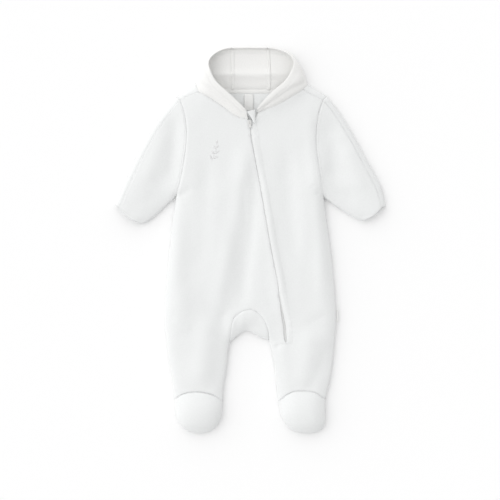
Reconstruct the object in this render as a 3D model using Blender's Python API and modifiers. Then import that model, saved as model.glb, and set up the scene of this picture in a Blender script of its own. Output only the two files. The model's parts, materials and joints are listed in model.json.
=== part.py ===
"""A baby's hooded, footed fleece overall with a slanting front zip, laid flat on its back.

Lengths in the tables are millimetres: +X to the right of someone who looks down on the
front, +Y towards the hood, +Z up from the surface that the garment lies on. The wearer's
right sleeve and leg are at -X. The outer face of the whole garment is worked out first,
as sheets of points that meet along the seams. Each cut piece is then trimmed back from
its seams and given the cloth's thickness on its inner side.
"""
import math

import bpy
import bmesh
import numpy as np
from mathutils import Matrix, Vector

MM = 0.001

# ---- driving dimensions -------------------------------------------------------------
CLOTH = 2.2            # thickness of the fleece
SEAM_GAP = 0.3         # between two pieces at a seam, on the outer face
SEAM_SPREAD = 0.35     # how much further each piece draws back on its inner face
TORSO_LOFT = 17.0      # height of the front above the surface
LEG_LOFT = 16.0
SLEEVE_LOFT = 12.5
FOOT_LOFT = 27.0
EDGE_HEIGHT = 5.0      # height of the fold or side seam all round
TOE_HEIGHT = 8.0
ROLL = 26.0            # how far in from its edge the top goes on rising
SLEEVE_ROLL = 21.0
FOOT_ROLL = 36.0
UNDER_ROLL = 8.0       # how far in from its edge the underside leaves the surface
SEAM_DIP = 0.9         # how deep a seam sinks in the top
SEAM_DIP_WIDTH = 3.0
SLIT = 1.2             # from the zip's centre line to the cloth on each side
SLIT_END = 1.7         # how much wider each side gets towards the zip's lower end
TAPE_REACH = 10.0      # from the zip's centre line to the edge of its tape
PLACKET = 12.0         # from the zip's centre line to the stitched line beside it
TAPE = 1.0
LABEL = 0.8
RIB = 1.4              # folded cloth of the chin guard, each layer
ON_SURFACE = 0.35      # between a piece and the panel that it lies on

WEARER_RIGHT, WEARER_LEFT = "right", "left"

# ---- outline, seen from above; a row is one point (x, y) ---------------------------
SHOULDER_EDGE = {
    WEARER_RIGHT: ((-132.3, 256.9), (-117.9, 267.8), (-104.4, 275.9), (-99.2, 283.1)),
    WEARER_LEFT: ((137.2, 257.9), (123.3, 267.8), (110.7, 274.9), (102.6, 280.4)),
}
SHOULDER_SEAM = {
    WEARER_RIGHT: ((-127.0, 252.8), (-109.8, 260.0), (-92.7, 266.1)),
    WEARER_LEFT: ((130.5, 252.2), (112.5, 260.5), (94.5, 270.0)),
}
NECK_SEAM = {
    WEARER_RIGHT: ((-92.7, 266.1), (-72.9, 255.2), (-49.0, 239.0), (-31.0, 225.5),
                   (-18.9, 219.5), (-5.4, 216.5)),
    WEARER_LEFT: ((94.5, 270.0), (83.2, 264.4), (56.2, 248.0), (31.5, 236.2), (14.0, 228.5)),
}
NAPE_SEAM = {
    WEARER_RIGHT: ((-72.9, 269.6), (-52.0, 266.8), (-33.3, 265.9)),
    WEARER_LEFT: ((76.0, 270.5), (54.0, 267.0), (35.1, 265.9)),
}
ARMHOLE = {
    WEARER_RIGHT: ((-127.0, 252.8), (-119.0, 234.5), (-114.8, 214.7), (-113.9, 188.4),
                   (-116.1, 158.8), (-121.5, 126.5), (-127.8, 97.7), (-134.1, 77.9)),
    WEARER_LEFT: ((130.5, 252.2), (124.0, 238.0), (121.0, 222.0), (118.6, 205.0),
                  (116.5, 184.1), (117.9, 158.8), (122.8, 126.5), (126.9, 99.5),
                  (130.5, 77.9)),
}
SLEEVE_TOP = {
    WEARER_RIGHT: ((-132.3, 256.9), (-165.1, 219.3), (-184.0, 188.2), (-199.8, 160.5),
                   (-213.5, 131.8), (-225.0, 107.4), (-235.3, 84.3), (-243.3, 62.6)),
    WEARER_LEFT: ((137.2, 257.9), (151.9, 241.7), (171.9, 211.6), (188.2, 183.7),
                  (201.7, 158.5), (219.0, 126.5), (235.2, 97.7), (242.9, 77.0),
                  (243.3, 59.9)),
}
SLEEVE_UNDER = {
    WEARER_RIGHT: ((-134.1, 77.9), (-144.5, 69.4), (-155.0, 59.1), (-171.0, 43.6),
                   (-184.3, 33.1), (-196.2, 28.7)),
    WEARER_LEFT: ((130.5, 77.9), (155.5, 59.3), (188.6, 39.0), (201.4, 34.6)),
}
SIDE = {
    WEARER_RIGHT: ((-134.1, 77.9), (-137.7, 47.2), (-139.9, 18.4), (-143.5, -17.6),
                   (-149.0, -55.4), (-153.5, -111.2), (-153.9, -143.6), (-151.7, -173.4),
                   (-148.0, -210.2), (-140.6, -252.5), (-136.4, -285.8)),
    WEARER_LEFT: ((130.5, 77.9), (135.7, 41.9), (144.4, -17.6), (151.7, -89.5),
                  (153.9, -127.4), (153.9, -153.8), (151.0, -185.0), (148.1, -219.2),
                  (143.6, -249.8), (137.7, -273.2), (134.6, -285.8)),
}
FOOT_OUTER = {
    WEARER_RIGHT: ((-136.4, -285.8), (-136.1, -303.8), (-131.6, -322.7), (-119.7, -339.0)),
    WEARER_LEFT: ((134.6, -285.8), (134.1, -300.2), (135.2, -322.7), (130.5, -339.0)),
}
TOE = {
    WEARER_RIGHT: ((-119.7, -339.0), (-104.8, -345.2), (-91.3, -346.9), (-76.5, -345.2),
                   (-64.4, -339.0)),
    WEARER_LEFT: ((130.5, -339.0), (118.4, -345.2), (101.6, -346.9), (82.6, -344.2),
                  (66.2, -334.4)),
}
FOOT_INNER = {
    WEARER_RIGHT: ((-49.9, -289.4), (-50.2, -301.9), (-53.1, -322.7), (-64.4, -339.0)),
    WEARER_LEFT: ((50.2, -289.4), (52.9, -307.4), (57.2, -322.7), (66.2, -334.4)),
}
INNER_LEG = {
    WEARER_RIGHT: ((-37.1, -183.2), (-39.8, -203.0), (-43.6, -235.3), (-49.5, -270.4),
                   (-49.9, -289.4)),
    WEARER_LEFT: ((33.3, -179.6), (38.4, -203.0), (43.9, -235.3), (47.3, -270.4),
                  (50.2, -289.4)),
}
FOOT_SEAM = {
    WEARER_RIGHT: ((-136.4, -285.8), (-122.6, -275.4), (-109.1, -271.9), (-91.3, -271.2),
                   (-73.3, -274.4), (-59.9, -280.9), (-49.9, -289.4)),
    WEARER_LEFT: ((134.6, -285.8), (118.4, -273.8), (100.6, -270.4), (79.7, -270.4),
                  (64.8, -276.4), (50.2, -289.4)),
}
CROTCH = ((-37.1, -183.2), (-22.5, -172.3), (-7.2, -159.2), (11.7, -174.2), (33.3, -179.6))
GUSSET_SEAM = {
    WEARER_RIGHT: ((0.5, -122.9), (-16.4, -127.0), (-31.0, -139.0), (-34.0, -153.0),
                   (-35.9, -168.0), (-36.9, -180.2), (-37.1, -183.2)),
    WEARER_LEFT: ((0.5, -122.9), (12.6, -128.1), (23.5, -140.5), (29.5, -153.0),
                  (32.4, -166.0), (33.3, -176.6), (33.3, -179.6)),
}
HOOD_EDGE = {
    WEARER_RIGHT: ((-33.3, 346.9), (-45.9, 346.1), (-62.1, 340.3), (-76.5, 330.8),
                   (-85.5, 315.4), (-93.6, 297.4), (-99.2, 283.1)),
    WEARER_LEFT: ((31.5, 346.9), (44.1, 345.7), (62.1, 341.4), (77.9, 333.4),
                  (87.7, 316.9), (98.1, 298.9), (102.6, 280.4)),
}
ZIP = ((-3.8, 217.5), (-1.4, 205.7), (4.2, 168.4), (13.2, 120.0), (22.1, 72.5),
       (34.9, -5.0), (47.0, -65.2), (52.9, -107.5), (57.0, -133.0), (60.6, -153.0),
       (63.5, -183.2))
BELOW_ZIP = ((69.0, -205.0), (77.0, -240.0), (86.0, -287.9))
CHEST_LINE = ((-45.0, 236.0), (-36.0, 180.0), (-20.0, 110.0), (-7.0, 0.0), (0.5, -122.9))
BACK_LINE = ((0.9, 265.9), (0.5, 100.0), (0.5, -122.9))

# ---- rows of the panels --------------------------------------------------------------
ARMHOLE_AT = (0.0, 0.13, 0.29, 0.45, 0.61, 0.76, 0.87, 0.94, 0.98, 1.0)
BODY_LEVELS = (50.0, 20.0, -12.0, -44.0, -75.0, -102.0)
GUSSET_LEVELS = (-123.0, -134.0, -146.0, -158.0, -170.0, -180.5, -183.5)
LEG_LEVELS = (-205.0, -228.0, -250.0, -269.0)
FOOT_SEAM_REACH = (0.1, 0.28, 0.52, 0.8, 1.0)   # how much the last rows follow its bow
FROM_EDGE = (0.0, 1.5, 6.0, 16.0)           # columns beside an edge
SLEEVE_ROWS = (0.0, 0.12, 0.26, 0.41, 0.56, 0.71, 0.86, 1.0)
SLEEVE_SEAM_IN = 9.0                        # from the upper edge of the sleeve to its seam
CUFF_BOW = 5.0                              # how far the middle of the cuff reaches out
FOOT_ROWS = (0.0, 0.26, 0.5, 0.7, 0.86, 1.0)
CUFF_REACH = (0.35, 1.0)
SHOULDER_POINTS = (0.0, 0.33, 0.67, 1.0)
NECK_POINTS = {WEARER_RIGHT: 12, WEARER_LEFT: 7}
CHEST_POINT = 6                             # the neck point where the chest line starts
OVER_EDGE = 0.4                             # from a folded edge to its seam on the top
UNDER_EDGE = (1.6, 8.5)                     # rows on the underside beside a folded edge
CREASE_AT = (0.46, 0.56, 0.67)              # from the hood's edge to the nape
CREASE_SHARE = (0.05, 1.0, 0.17)

# ---- folds and ridges of the top: points of its line, half width, height -------------
FOLDS = (
    (((-6.0, 150.0), (-20.0, 60.0), (-35.0, -55.0), (-53.0, -145.0), (-66.0, -225.0)),
     13.0, -5.5),
    (((-113.0, 100.0), (-115.0, 0.0), (-108.0, -110.0)), 14.0, -2.4),
    (((-68.0, 120.0), (-72.0, 20.0), (-88.0, -90.0)), 22.0, 2.2),
    (((8.0, 130.0), (14.0, 40.0), (16.0, -70.0)), 15.0, 1.6),
    (((110.0, 150.0), (98.0, 60.0), (96.0, -60.0)), 20.0, 2.4),
    (((60.0, 160.0), (66.0, 60.0), (72.0, -40.0)), 18.0, -1.6),
    (((150.0, -190.0), (122.0, -235.0), (96.0, -268.0)), 16.0, -4.0),
    (((-52.0, -190.0), (-60.0, -235.0), (-66.0, -268.0)), 13.0, -2.6),
    (((-8.0, -156.0), (-6.0, -132.0)), 7.0, 2.5),
    (((14.0, -166.0), (6.0, -132.0)), 7.0, -2.5),
    (((44.0, -176.0), (50.0, -198.0)), 7.0, -3.0),
    (((-121.0, 236.0), (-121.0, 190.0), (-123.0, 150.0), (-128.0, 110.0)), 5.0, 1.6),
    (((-132.0, 238.0), (-129.0, 190.0), (-129.0, 140.0), (-133.0, 96.0)), 8.0, -3.2),
    (((130.0, 238.0), (122.0, 205.0), (119.0, 170.0), (126.0, 110.0)), 9.0, -3.6),
    (((-150.0, 200.0), (-190.0, 110.0), (-205.0, 60.0)), 16.0, 2.0),
    (((160.0, 190.0), (196.0, 110.0), (212.0, 60.0)), 16.0, 2.0),
    (((140.0, 150.0), (168.0, 92.0), (186.0, 60.0)), 13.0, -2.0),
    (((-148.0, 140.0), (-166.0, 90.0), (-178.0, 62.0)), 12.0, -1.8),
)

# ---- hood rows: rim x, y, z, then fold x, y, z, then foot x, y, z, crease height -----
HOOD_ROWS = {
    WEARER_RIGHT: (
        (-33.3, 345.6, 8.5, -33.3, 346.9, 4.0, -33.3, 341.0, 0.0, 6.0),
        (-45.5, 344.4, 10.5, -46.3, 346.0, 5.0, -46.3, 339.0, 0.0, 5.0),
        (-58.2, 339.2, 14.5, -62.1, 340.3, 6.5, -58.5, 333.0, 0.0, 3.0),
        (-70.8, 330.0, 20.0, -76.5, 330.6, 8.5, -70.5, 325.0, 0.0, 0.0),
        (-76.2, 318.5, 25.0, -85.5, 315.4, 10.0, -79.5, 309.5, 0.5, 0.0),
        (-73.5, 308.0, 28.0, -92.4, 300.6, 11.0, -96.0, 289.5, 6.5, 0.0),
        (-69.5, 298.0, 30.0, -93.5, 289.0, 18.0, -97.2, 282.0, 11.5, 0.0),
        (-64.0, 287.0, 31.0, -84.5, 279.0, 24.0, -91.0, 271.5, 17.5, 0.0),
    ),
    WEARER_LEFT: (
        (31.5, 345.6, 8.5, 31.5, 346.9, 4.0, 31.7, 341.0, 0.0, 6.0),
        (44.0, 344.2, 10.0, 44.1, 345.8, 5.0, 45.0, 339.0, 0.0, 3.0),
        (59.0, 340.0, 14.0, 62.1, 341.3, 6.5, 59.5, 334.0, 0.0, 1.0),
        (72.3, 331.8, 19.0, 77.9, 333.0, 8.5, 72.0, 327.0, 0.0, 0.0),
        (79.0, 318.5, 24.0, 87.7, 316.9, 10.0, 82.0, 310.5, 0.5, 0.0),
        (75.5, 307.5, 27.0, 96.0, 302.4, 11.0, 99.6, 289.5, 6.5, 0.0),
        (71.0, 298.5, 29.0, 97.0, 290.0, 17.0, 100.4, 281.5, 11.0, 0.0),
        (66.0, 290.0, 30.0, 87.5, 281.5, 22.0, 94.0, 274.5, 16.5, 0.0),
    ),
}
LAPEL_RIM = {
    WEARER_RIGHT: ((-56.5, 278.0, 31.5), (-47.5, 270.3, 31.5), (-36.5, 260.5, 30.5),
                   (-26.0, 250.9, 29.0), (-16.0, 241.5, 27.0), (-7.0, 231.8, 23.5)),
    WEARER_LEFT: ((59.0, 280.5, 30.5), (48.5, 273.5, 30.5), (37.5, 264.0, 29.5),
                  (28.0, 254.5, 28.0), (19.5, 245.0, 26.0), (11.5, 235.0, 22.5)),
}
LAPEL_BULGE = 3.0

# ---- zip furniture and small pieces --------------------------------------------------
TAPE_TOP = 11.0              # how far the tape runs on above the first row below the neck
SLIDER_AT = (-1.8, 211.0)
SLIDER_PLATE = (6.6, 8.6, 1.5)
SLIDER_NECK = (1.1, 5.0, 2.6)
BRIDGE_WIRE = 0.4                    # radius
BRIDGE_REACH = 1.9                   # from its middle to each leg
BRIDGE_HEIGHT = 2.3                  # of its bar over the plate
TAB = (4.2, 10.0, 1.0)               # width, length, thickness
TAB_SLOT = (2.1, 2.0)
TAB_BAR = 1.0                        # of the tab's head, that runs under the bridge
TAB_AXIS = (-0.6, 0.95)              # along the slider and over its plate
ZIP_TILT = math.atan2(6.2, 37.3)     # of the zip's line from the Y axis at its top
GUARD_CORNERS = ((-4.2, 230.3), (8.6, 233.8), (9.2, 208.0), (5.8, 209.2))   # in turn
GUARD_LIFT = (4.6, 1.2, 0.2, 0.2)    # of each corner over the front
GUARD_ROWS = (0.0, 0.12, 0.35, 0.6, 0.82, 1.0)
GUARD_COLUMNS = (0.0, 0.2, 0.4, 0.6, 0.8, 1.0)
GUARD_BOW = 1.6                      # how far the middle of the guard bulges up
NECK_LABEL = ((-11.7, 5.4), (232.7, 263.0))      # x and y ranges
NECK_LABEL_ARCH = 0.6
SIDE_LABEL = ((154.4, 157.4), (-147.7, -125.0), (4.2, 5.8))

WHITE = (0.86, 0.86, 0.85, 1.0)
FINISHES = {
    "fleece": (WHITE, 0.95, 0.0),
    "tape": ((0.80, 0.80, 0.79, 1.0), 0.85, 0.0),
    "metal": ((0.62, 0.62, 0.62, 1.0), 0.35, 0.9),
    "satin": ((0.88, 0.88, 0.87, 1.0), 0.6, 0.0),
}


# ---- curves --------------------------------------------------------------------------
def flowing(points, steps=16):
    """Many points of a smooth curve through the given ones."""
    p = np.asarray(points, float)
    ends = np.vstack([2 * p[0] - p[1], p, 2 * p[-1] - p[-2]])
    t = np.linspace(0.0, 1.0, steps, endpoint=False)[:, None]
    spans = []
    for a, b, c, d in zip(ends, ends[1:], ends[2:], ends[3:]):
        spans.append(0.5 * (2 * b + (c - a) * t + (2 * a - 5 * b + 4 * c - d) * t ** 2
                            + (3 * b - a - 3 * c + d) * t ** 3))
    return np.vstack(spans + [p[-1:]])


def along(points, shares):
    """Points at the given shares of a smooth curve's length."""
    line = flowing(points)
    run = np.concatenate([[0.0], np.cumsum(np.linalg.norm(np.diff(line, axis=0), axis=1))])
    at = np.asarray(shares) * run[-1]
    return np.column_stack([np.interp(at, run, line[:, k]) for k in range(line.shape[1])])


def at_levels(points, levels):
    """Points of a curve that runs down, where it passes the given levels."""
    line = flowing(points)[::-1]
    return np.column_stack([np.interp(levels, line[:, 1], line[:, 0]), levels])


def ease(value, low, high):
    """Smooth step from 0 at low to 1 at high."""
    t = np.clip((value - low) / (high - low), 0.0, 1.0)
    return t * t * (3.0 - 2.0 * t)


def nearest(line, xy):
    """Distance of each point to a line, and its share along the line."""
    a, b = line[:-1], line[1:]
    step = b - a
    size = np.maximum((step ** 2).sum(axis=1), 1e-12)
    t = np.clip(((xy[:, None] - a) * step).sum(axis=2) / size, 0.0, 1.0)
    far = np.linalg.norm(xy[:, None] - (a + t[..., None] * step), axis=2)
    best = far.argmin(axis=1)
    row = np.arange(len(xy))
    return far[row, best], (best + t[row, best]) / len(a)


# ---- the top and the underside as heights over the surface ---------------------------
def outline():
    """Every folded or seamed edge that the top rolls down to, cuffs left open."""
    lines = [flowing(CROTCH, 6)]
    for side in (WEARER_RIGHT, WEARER_LEFT):
        for table in (SHOULDER_EDGE, SLEEVE_TOP, SLEEVE_UNDER, SIDE, FOOT_OUTER, TOE,
                      FOOT_INNER, INNER_LEG, HOOD_EDGE):
            lines.append(flowing(table[side], 6))
    return lines


def seams_on_top():
    lines = []
    for side in (WEARER_RIGHT, WEARER_LEFT):
        for table in (SHOULDER_SEAM, ARMHOLE, FOOT_SEAM, GUSSET_SEAM):
            lines.append(flowing(table[side], 4))
    return lines


EDGES = outline()
SEAMS = seams_on_top()
FOLD_LINES = [flowing(path, 8) for path, _, _ in FOLDS]


def from_edge(xy):
    return np.min([nearest(line, xy)[0] for line in EDGES], axis=0)


def foot_share(xy):
    """0 on the leg and 1 on the foot, rising quickly from the curved seam."""
    x, y = xy.T
    middle = 92.8
    seam = -270.5 - 16.0 * ((np.abs(x) - middle) / 43.0) ** 2
    return ease(seam - y, -4.0, 30.0)


def sleeve_share(xy):
    """0 on the body and 1 on a sleeve."""
    x, y = xy.T
    border = 128.0 + 10.0 * ease(-y, -100.0, -76.0)
    return ease(np.abs(x), border - 4.0, border + 14.0) * ease(y, 20.0, 40.0)


def edge_height(xy):
    return EDGE_HEIGHT + (TOE_HEIGHT - EDGE_HEIGHT) * ease(-xy[:, 1], 270.0, 315.0)


def creases(xy):
    total = np.zeros(len(xy))
    for line, (_, width, height) in zip(FOLD_LINES, FOLDS):
        far, share = nearest(line, xy)
        fade = ease(share, 0.0, 0.3) * ease(1.0 - share, 0.0, 0.3)
        total += height * fade * np.exp(-(far / width) ** 2)
    return total


def top(xy):
    """Height of the outer face of the front at each (x, y)."""
    xy = np.asarray(xy, float)
    foot, sleeve = foot_share(xy), sleeve_share(xy)
    body = TORSO_LOFT + (LEG_LOFT - TORSO_LOFT) * ease(-xy[:, 1], 120.0, 200.0)
    loft = body + (FOOT_LOFT - body) * foot + (SLEEVE_LOFT - body) * sleeve
    roll = ROLL + (FOOT_ROLL - ROLL) * foot + (SLEEVE_ROLL - ROLL) * sleeve
    edge, mid = from_edge(xy), edge_height(xy)
    rise = np.sqrt(1.0 - (1.0 - np.clip(edge / roll, 0.0, 1.0)) ** 2)
    dip = np.max([np.exp(-(nearest(line, xy)[0] / SEAM_DIP_WIDTH) ** 2) for line in SEAMS],
                 axis=0)
    height = mid + (loft - mid + creases(xy) - SEAM_DIP * dip) * rise
    return np.where(edge < 0.3, mid, height)


def under(xy):
    """Height of the outer face of the back, flat on the surface but for its edges."""
    xy = np.asarray(xy, float)
    edge, mid = from_edge(xy), edge_height(xy)
    rise = np.sqrt(1.0 - (1.0 - np.clip(edge / UNDER_ROLL, 0.0, 1.0)) ** 2)
    return np.where(edge < 0.3, mid, mid * (1.0 - rise))


def lifted(plan, height):
    """A grid of plan points, each at the height that the function gives."""
    flat = plan.reshape(-1, 2)
    return np.column_stack([flat, height(flat)]).reshape(plan.shape[:-1] + (3,))


# ---- plan grids -----------------------------------------------------------------------
ARM_ROWS = len(ARMHOLE_AT)
SIDE_LEVELS = BODY_LEVELS + GUSSET_LEVELS + LEG_LEVELS
ROW_COUNT = ARM_ROWS + len(SIDE_LEVELS) + 1
GUSSET_ROW = ARM_ROWS + len(BODY_LEVELS)
ZIP_END_ROW = GUSSET_ROW + len(GUSSET_LEVELS) - 1
ROW = np.arange(ROW_COUNT)
SHAPE_LEFT = 1.0 - ease(ROW, 0.0, ARM_ROWS - 1.0)     # how much a row bows as the first
LEG_SHARE = ease(ROW, GUSSET_ROW - 3.0, ZIP_END_ROW + 1.0)


def ruled(starts, ends, first, left, right, inner, shape_left, right_edge=None):
    """A plan grid with one row for each start and end.

    left and right are column distances from the two ends, with inner even columns
    between them. right_edge says, a row, how far the right columns are placed so, and
    not evenly. The first row is given, and its shape fades out with shape_left.
    """
    chord = first[-1] - first[0]
    own = ((first - first[0]) @ chord) / (chord @ chord)
    bow = first - (first[0] + own[:, None] * chord)
    left, right = np.asarray(left), np.asarray(right)
    grid = []
    for i, (start, end) in enumerate(zip(starts, ends)):
        width = np.linalg.norm(end - start)
        between = np.linspace(left[-1], width - right[-1], inner + 2)[1:-1]
        at = np.concatenate([left, between, (width - right)[::-1]])
        if right_edge is not None:
            even = np.linspace(left[-1], width, inner + len(right) + 1)[1:]
            spread = np.concatenate([left, even])
            at = spread + (at - spread) * right_edge[i]
        share = at / width + (own - at / width) * shape_left[i]
        grid.append(start + share[:, None] * (end - start) + bow * shape_left[i])
    return np.array(grid)


def patch(first, last, starts, ends, down):
    """A plan grid inside four curves; down is each row's share of the way to the last."""
    u = np.linspace(0.0, 1.0, len(first))[None, :, None]
    v = np.asarray(down)[:, None, None]
    corners = ((1 - v) * ((1 - u) * first[0] + u * first[-1])
               + v * ((1 - u) * last[0] + u * last[-1]))
    return ((1 - v) * first[None] + v * last[None]
            + (1 - u) * starts[:, None] + u * ends[:, None] - corners)


def outer_side(side):
    """The armhole and then the side edge, one point for each row of a body panel."""
    arm = along(ARMHOLE[side], ARMHOLE_AT)
    return np.vstack([arm, at_levels(SIDE[side], SIDE_LEVELS), SIDE[side][-1:]])


def inner_side(side, line):
    """A line down the body, the gusset seam and the inner leg, one point for each row."""
    chest = at_levels(line, np.linspace(line[0][1], 84.0, ARM_ROWS))
    return np.vstack([chest, at_levels(line, BODY_LEVELS), GUSSET_SEAM[side],
                      at_levels(INNER_LEG[side], LEG_LEVELS), INNER_LEG[side][-1:]])


def zip_side():
    """The zip's centre line and its run on down the leg, one point for each row."""
    chest = at_levels(ZIP, np.linspace(ZIP[0][1], 84.0, ARM_ROWS))
    return np.vstack([chest, at_levels(ZIP + BELOW_ZIP, SIDE_LEVELS), BELOW_ZIP[-1:]])


def half_slit():
    """From the zip's centre line to the cloth, one width for each row."""
    opening = SLIT + SLIT_END * ease(-zip_side()[:, 1], 100.0, 150.0)
    return np.where(ROW < ZIP_END_ROW, opening, 0.0)[:, None] * np.array([1.0, 0.0])


def with_foot_seam(grid, side):
    """Bends the last rows of a leg along the curved foot seam."""
    seam = flowing(FOOT_SEAM[side])
    seam = seam[seam[:, 0].argsort()]
    for row, reach in zip(grid[-len(FOOT_SEAM_REACH):], FOOT_SEAM_REACH):
        straight = np.interp(row[:, 0], seam[[0, -1], 0], seam[[0, -1], 1])
        row[:, 1] += reach * (np.interp(row[:, 0], seam[:, 0], seam[:, 1]) - straight)
    return grid


def front_grids():
    """Plan grids of the front: from the side at -X, beside the zip, and to the side at +X."""
    right, left = WEARER_RIGHT, WEARER_LEFT
    seam = {side: along(SHOULDER_SEAM[side], SHOULDER_POINTS) for side in (right, left)}
    neck = {side: neck_plan(side) for side in (right, left)}
    chest = (tuple(neck[right][CHEST_POINT]),) + CHEST_LINE[1:]
    first = np.vstack([seam[right], neck[right][1:CHEST_POINT + 1]])
    outer = ruled(outer_side(right), inner_side(right, chest), first, FROM_EDGE, FROM_EDGE,
                  2, SHAPE_LEFT, LEG_SHARE)
    ends = zip_side() - half_slit()
    ends[0] = neck[right][-1]
    middle = ruled(inner_side(left, chest), ends, neck[right][CHEST_POINT:], FROM_EDGE,
                   (0.0, TAPE_REACH - SLIT), 0, SHAPE_LEFT)
    spread = ruled(inner_side(left, chest), ends, neck[right][CHEST_POINT:], (0.0,),
                   (0.0, TAPE_REACH - SLIT), 3, SHAPE_LEFT)
    middle = spread + (middle - spread) * LEG_SHARE[:, None, None]
    starts = zip_side() + half_slit()
    starts[0] = neck[left][-1]
    first = np.vstack([neck[left][::-1], seam[left][::-1][1:]])
    far = ruled(starts, outer_side(left), first, (0.0, PLACKET - SLIT), FROM_EDGE, 4,
                SHAPE_LEFT)
    return (with_foot_seam(outer, right), with_foot_seam(middle, left),
            with_foot_seam(far, left))


def neck_plan(side):
    return along(NECK_SEAM[side], np.linspace(0.0, 1.0, NECK_POINTS[side]))


def back_grids():
    """Plan grids of the back: from the side at -X to its middle, and on to the side at +X."""
    grids = []
    for side in (WEARER_RIGHT, WEARER_LEFT):
        under_row = shoulder(side)[-1][:, :2]
        first = np.vstack([under_row, NAPE_SEAM[side], BACK_LINE[:1]])
        starts, ends = outer_side(side), inner_side(side, BACK_LINE)
        starts[0] = under_row[0]
        grid = ruled(starts, ends, first, FROM_EDGE, FROM_EDGE, 0, SHAPE_LEFT, LEG_SHARE)
        grids.append(with_foot_seam(grid, side))
    return grids


def shoulder(side):
    """The strip of the back that comes over the shoulder: rows from its seam to under."""
    seam = along(SHOULDER_SEAM[side], SHOULDER_POINTS)
    return wrapped(over_edge(seam, along(SHOULDER_EDGE[side], SHOULDER_POINTS)))


def over_edge(seam, edge):
    """Plan rows from a seam on the top, round a folded edge and on to the underside."""
    inward = (seam - edge) / np.linalg.norm(seam - edge, axis=1)[:, None]
    below = [edge + reach * inward for reach in UNDER_EDGE]
    return np.array([seam, edge + OVER_EDGE * (seam - edge), edge] + below)


def wrapped(plan):
    """Lifts the rows of over_edge: three on the top, then two on the underside."""
    return np.vstack([lifted(plan[:3], top), lifted(plan[3:], under)])


def sleeve_curves(side):
    """Plan points of a sleeve's seam, upper edge and lower edge, one for each row."""
    edge = along(SLEEVE_TOP[side], SLEEVE_ROWS)
    lower = along(SLEEVE_UNDER[side], SLEEVE_ROWS)
    ahead = along(SLEEVE_TOP[side], np.clip(np.array(SLEEVE_ROWS) + 0.02, 0.0, 1.0))
    behind = along(SLEEVE_TOP[side], np.clip(np.array(SLEEVE_ROWS) - 0.02, 0.0, 1.0))
    run = (ahead - behind) / np.linalg.norm(ahead - behind, axis=1)[:, None]
    inward = np.column_stack([-run[:, 1], run[:, 0]])
    if side == WEARER_LEFT:
        inward = -inward
    seam = edge + SLEEVE_SEAM_IN * inward
    seam[0] = SHOULDER_SEAM[side][0]
    return seam, edge, lower


def bow_cuff(grid, side):
    """Bends the last rows of a sleeve outwards in the middle of the cuff."""
    a, b = np.array(SLEEVE_TOP[side][-1]), np.array(SLEEVE_UNDER[side][-1])
    chord = b - a
    outward = np.array([chord[1], -chord[0]]) / np.linalg.norm(chord)
    if outward[1] > 0:
        outward = -outward
    for row, reach in zip(grid[-len(CUFF_REACH):], CUFF_REACH):
        share = np.clip(((row - a) @ chord) / (chord @ chord), 0.0, 1.0)
        row += (CUFF_BOW * reach * np.sin(math.pi * share))[:, None] * outward
    return grid


# ---- the outer face of each cut piece, as sheets of points and the way each faces ------
UP, DOWN = (0.0, 0.0, 1.0), (0.0, 0.0, -1.0)


def front_panel():
    return [(lifted(grid, top), UP) for grid in front_grids()]


def back_panel():
    sheets = [(lifted(grid, under), DOWN) for grid in back_grids()]
    for side in (WEARER_RIGHT, WEARER_LEFT):
        sheets.append((shoulder(side), (0.0, 1.0, 0.0)))
    return sheets


def gusset():
    right, left = GUSSET_SEAM[WEARER_RIGHT], GUSSET_SEAM[WEARER_LEFT]
    first = np.array(right[2::-1] + left[1:3])
    starts, ends = np.array(right[2:]), np.array(left[2:])
    down = (0.0, 0.3, 0.62, 0.9, 1.0)
    plan = patch(first, np.array(CROTCH), starts, ends, down)
    return [(lifted(plan, top), UP), (lifted(plan, under), DOWN)]


def sleeve_front(side):
    seam, _, lower = sleeve_curves(side)
    first = along(ARMHOLE[side], ARMHOLE_AT)
    rows = len(SLEEVE_ROWS)
    plan = ruled(seam, lower, first, (0.0,), FROM_EDGE, 5, 1.0 - ease(np.arange(rows), 0.0, 5.0))
    return [(lifted(bow_cuff(plan, side), top), UP)]


def sleeve_back(side):
    seam, edge, lower = sleeve_curves(side)
    over = over_edge(seam, edge)
    first = along(ARMHOLE[side], ARMHOLE_AT)
    first[0] = over[-1, 0]
    fade = 1.0 - ease(np.arange(len(SLEEVE_ROWS)), 0.0, 5.0)
    floor = ruled(over[-1], lower, first, (0.0,), FROM_EDGE, 5, fade)
    wrap = bow_cuff(over.transpose(1, 0, 2).copy(), side).transpose(1, 0, 2)
    outward = (-1.0 if side == WEARER_RIGHT else 1.0, 0.5, 0.0)
    return [(wrapped(wrap), outward), (lifted(bow_cuff(floor, side), under), DOWN)]


def foot(side, height, facing):
    """One half of a foot: from the seam at the ankle to the toe."""
    if height is top:
        grids = front_grids()
        if side == WEARER_RIGHT:
            first = grids[0][-1]
        else:
            first = np.vstack([grids[1][-1], grids[2][-1][1:]])[::-1]
    else:
        first = back_grids()[0 if side == WEARER_RIGHT else 1][-1]
    run = np.concatenate([[0.0], np.cumsum(np.linalg.norm(np.diff(first, axis=0), axis=1))])
    even = np.linspace(0.0, 1.0, len(first))
    last = along(TOE[side], (run / run[-1] + even) / 2)
    starts = along(FOOT_OUTER[side], FOOT_ROWS)
    ends = along(FOOT_INNER[side], FOOT_ROWS)
    return [(lifted(patch(first, last, starts, ends, FOOT_ROWS), height), facing)]


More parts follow.
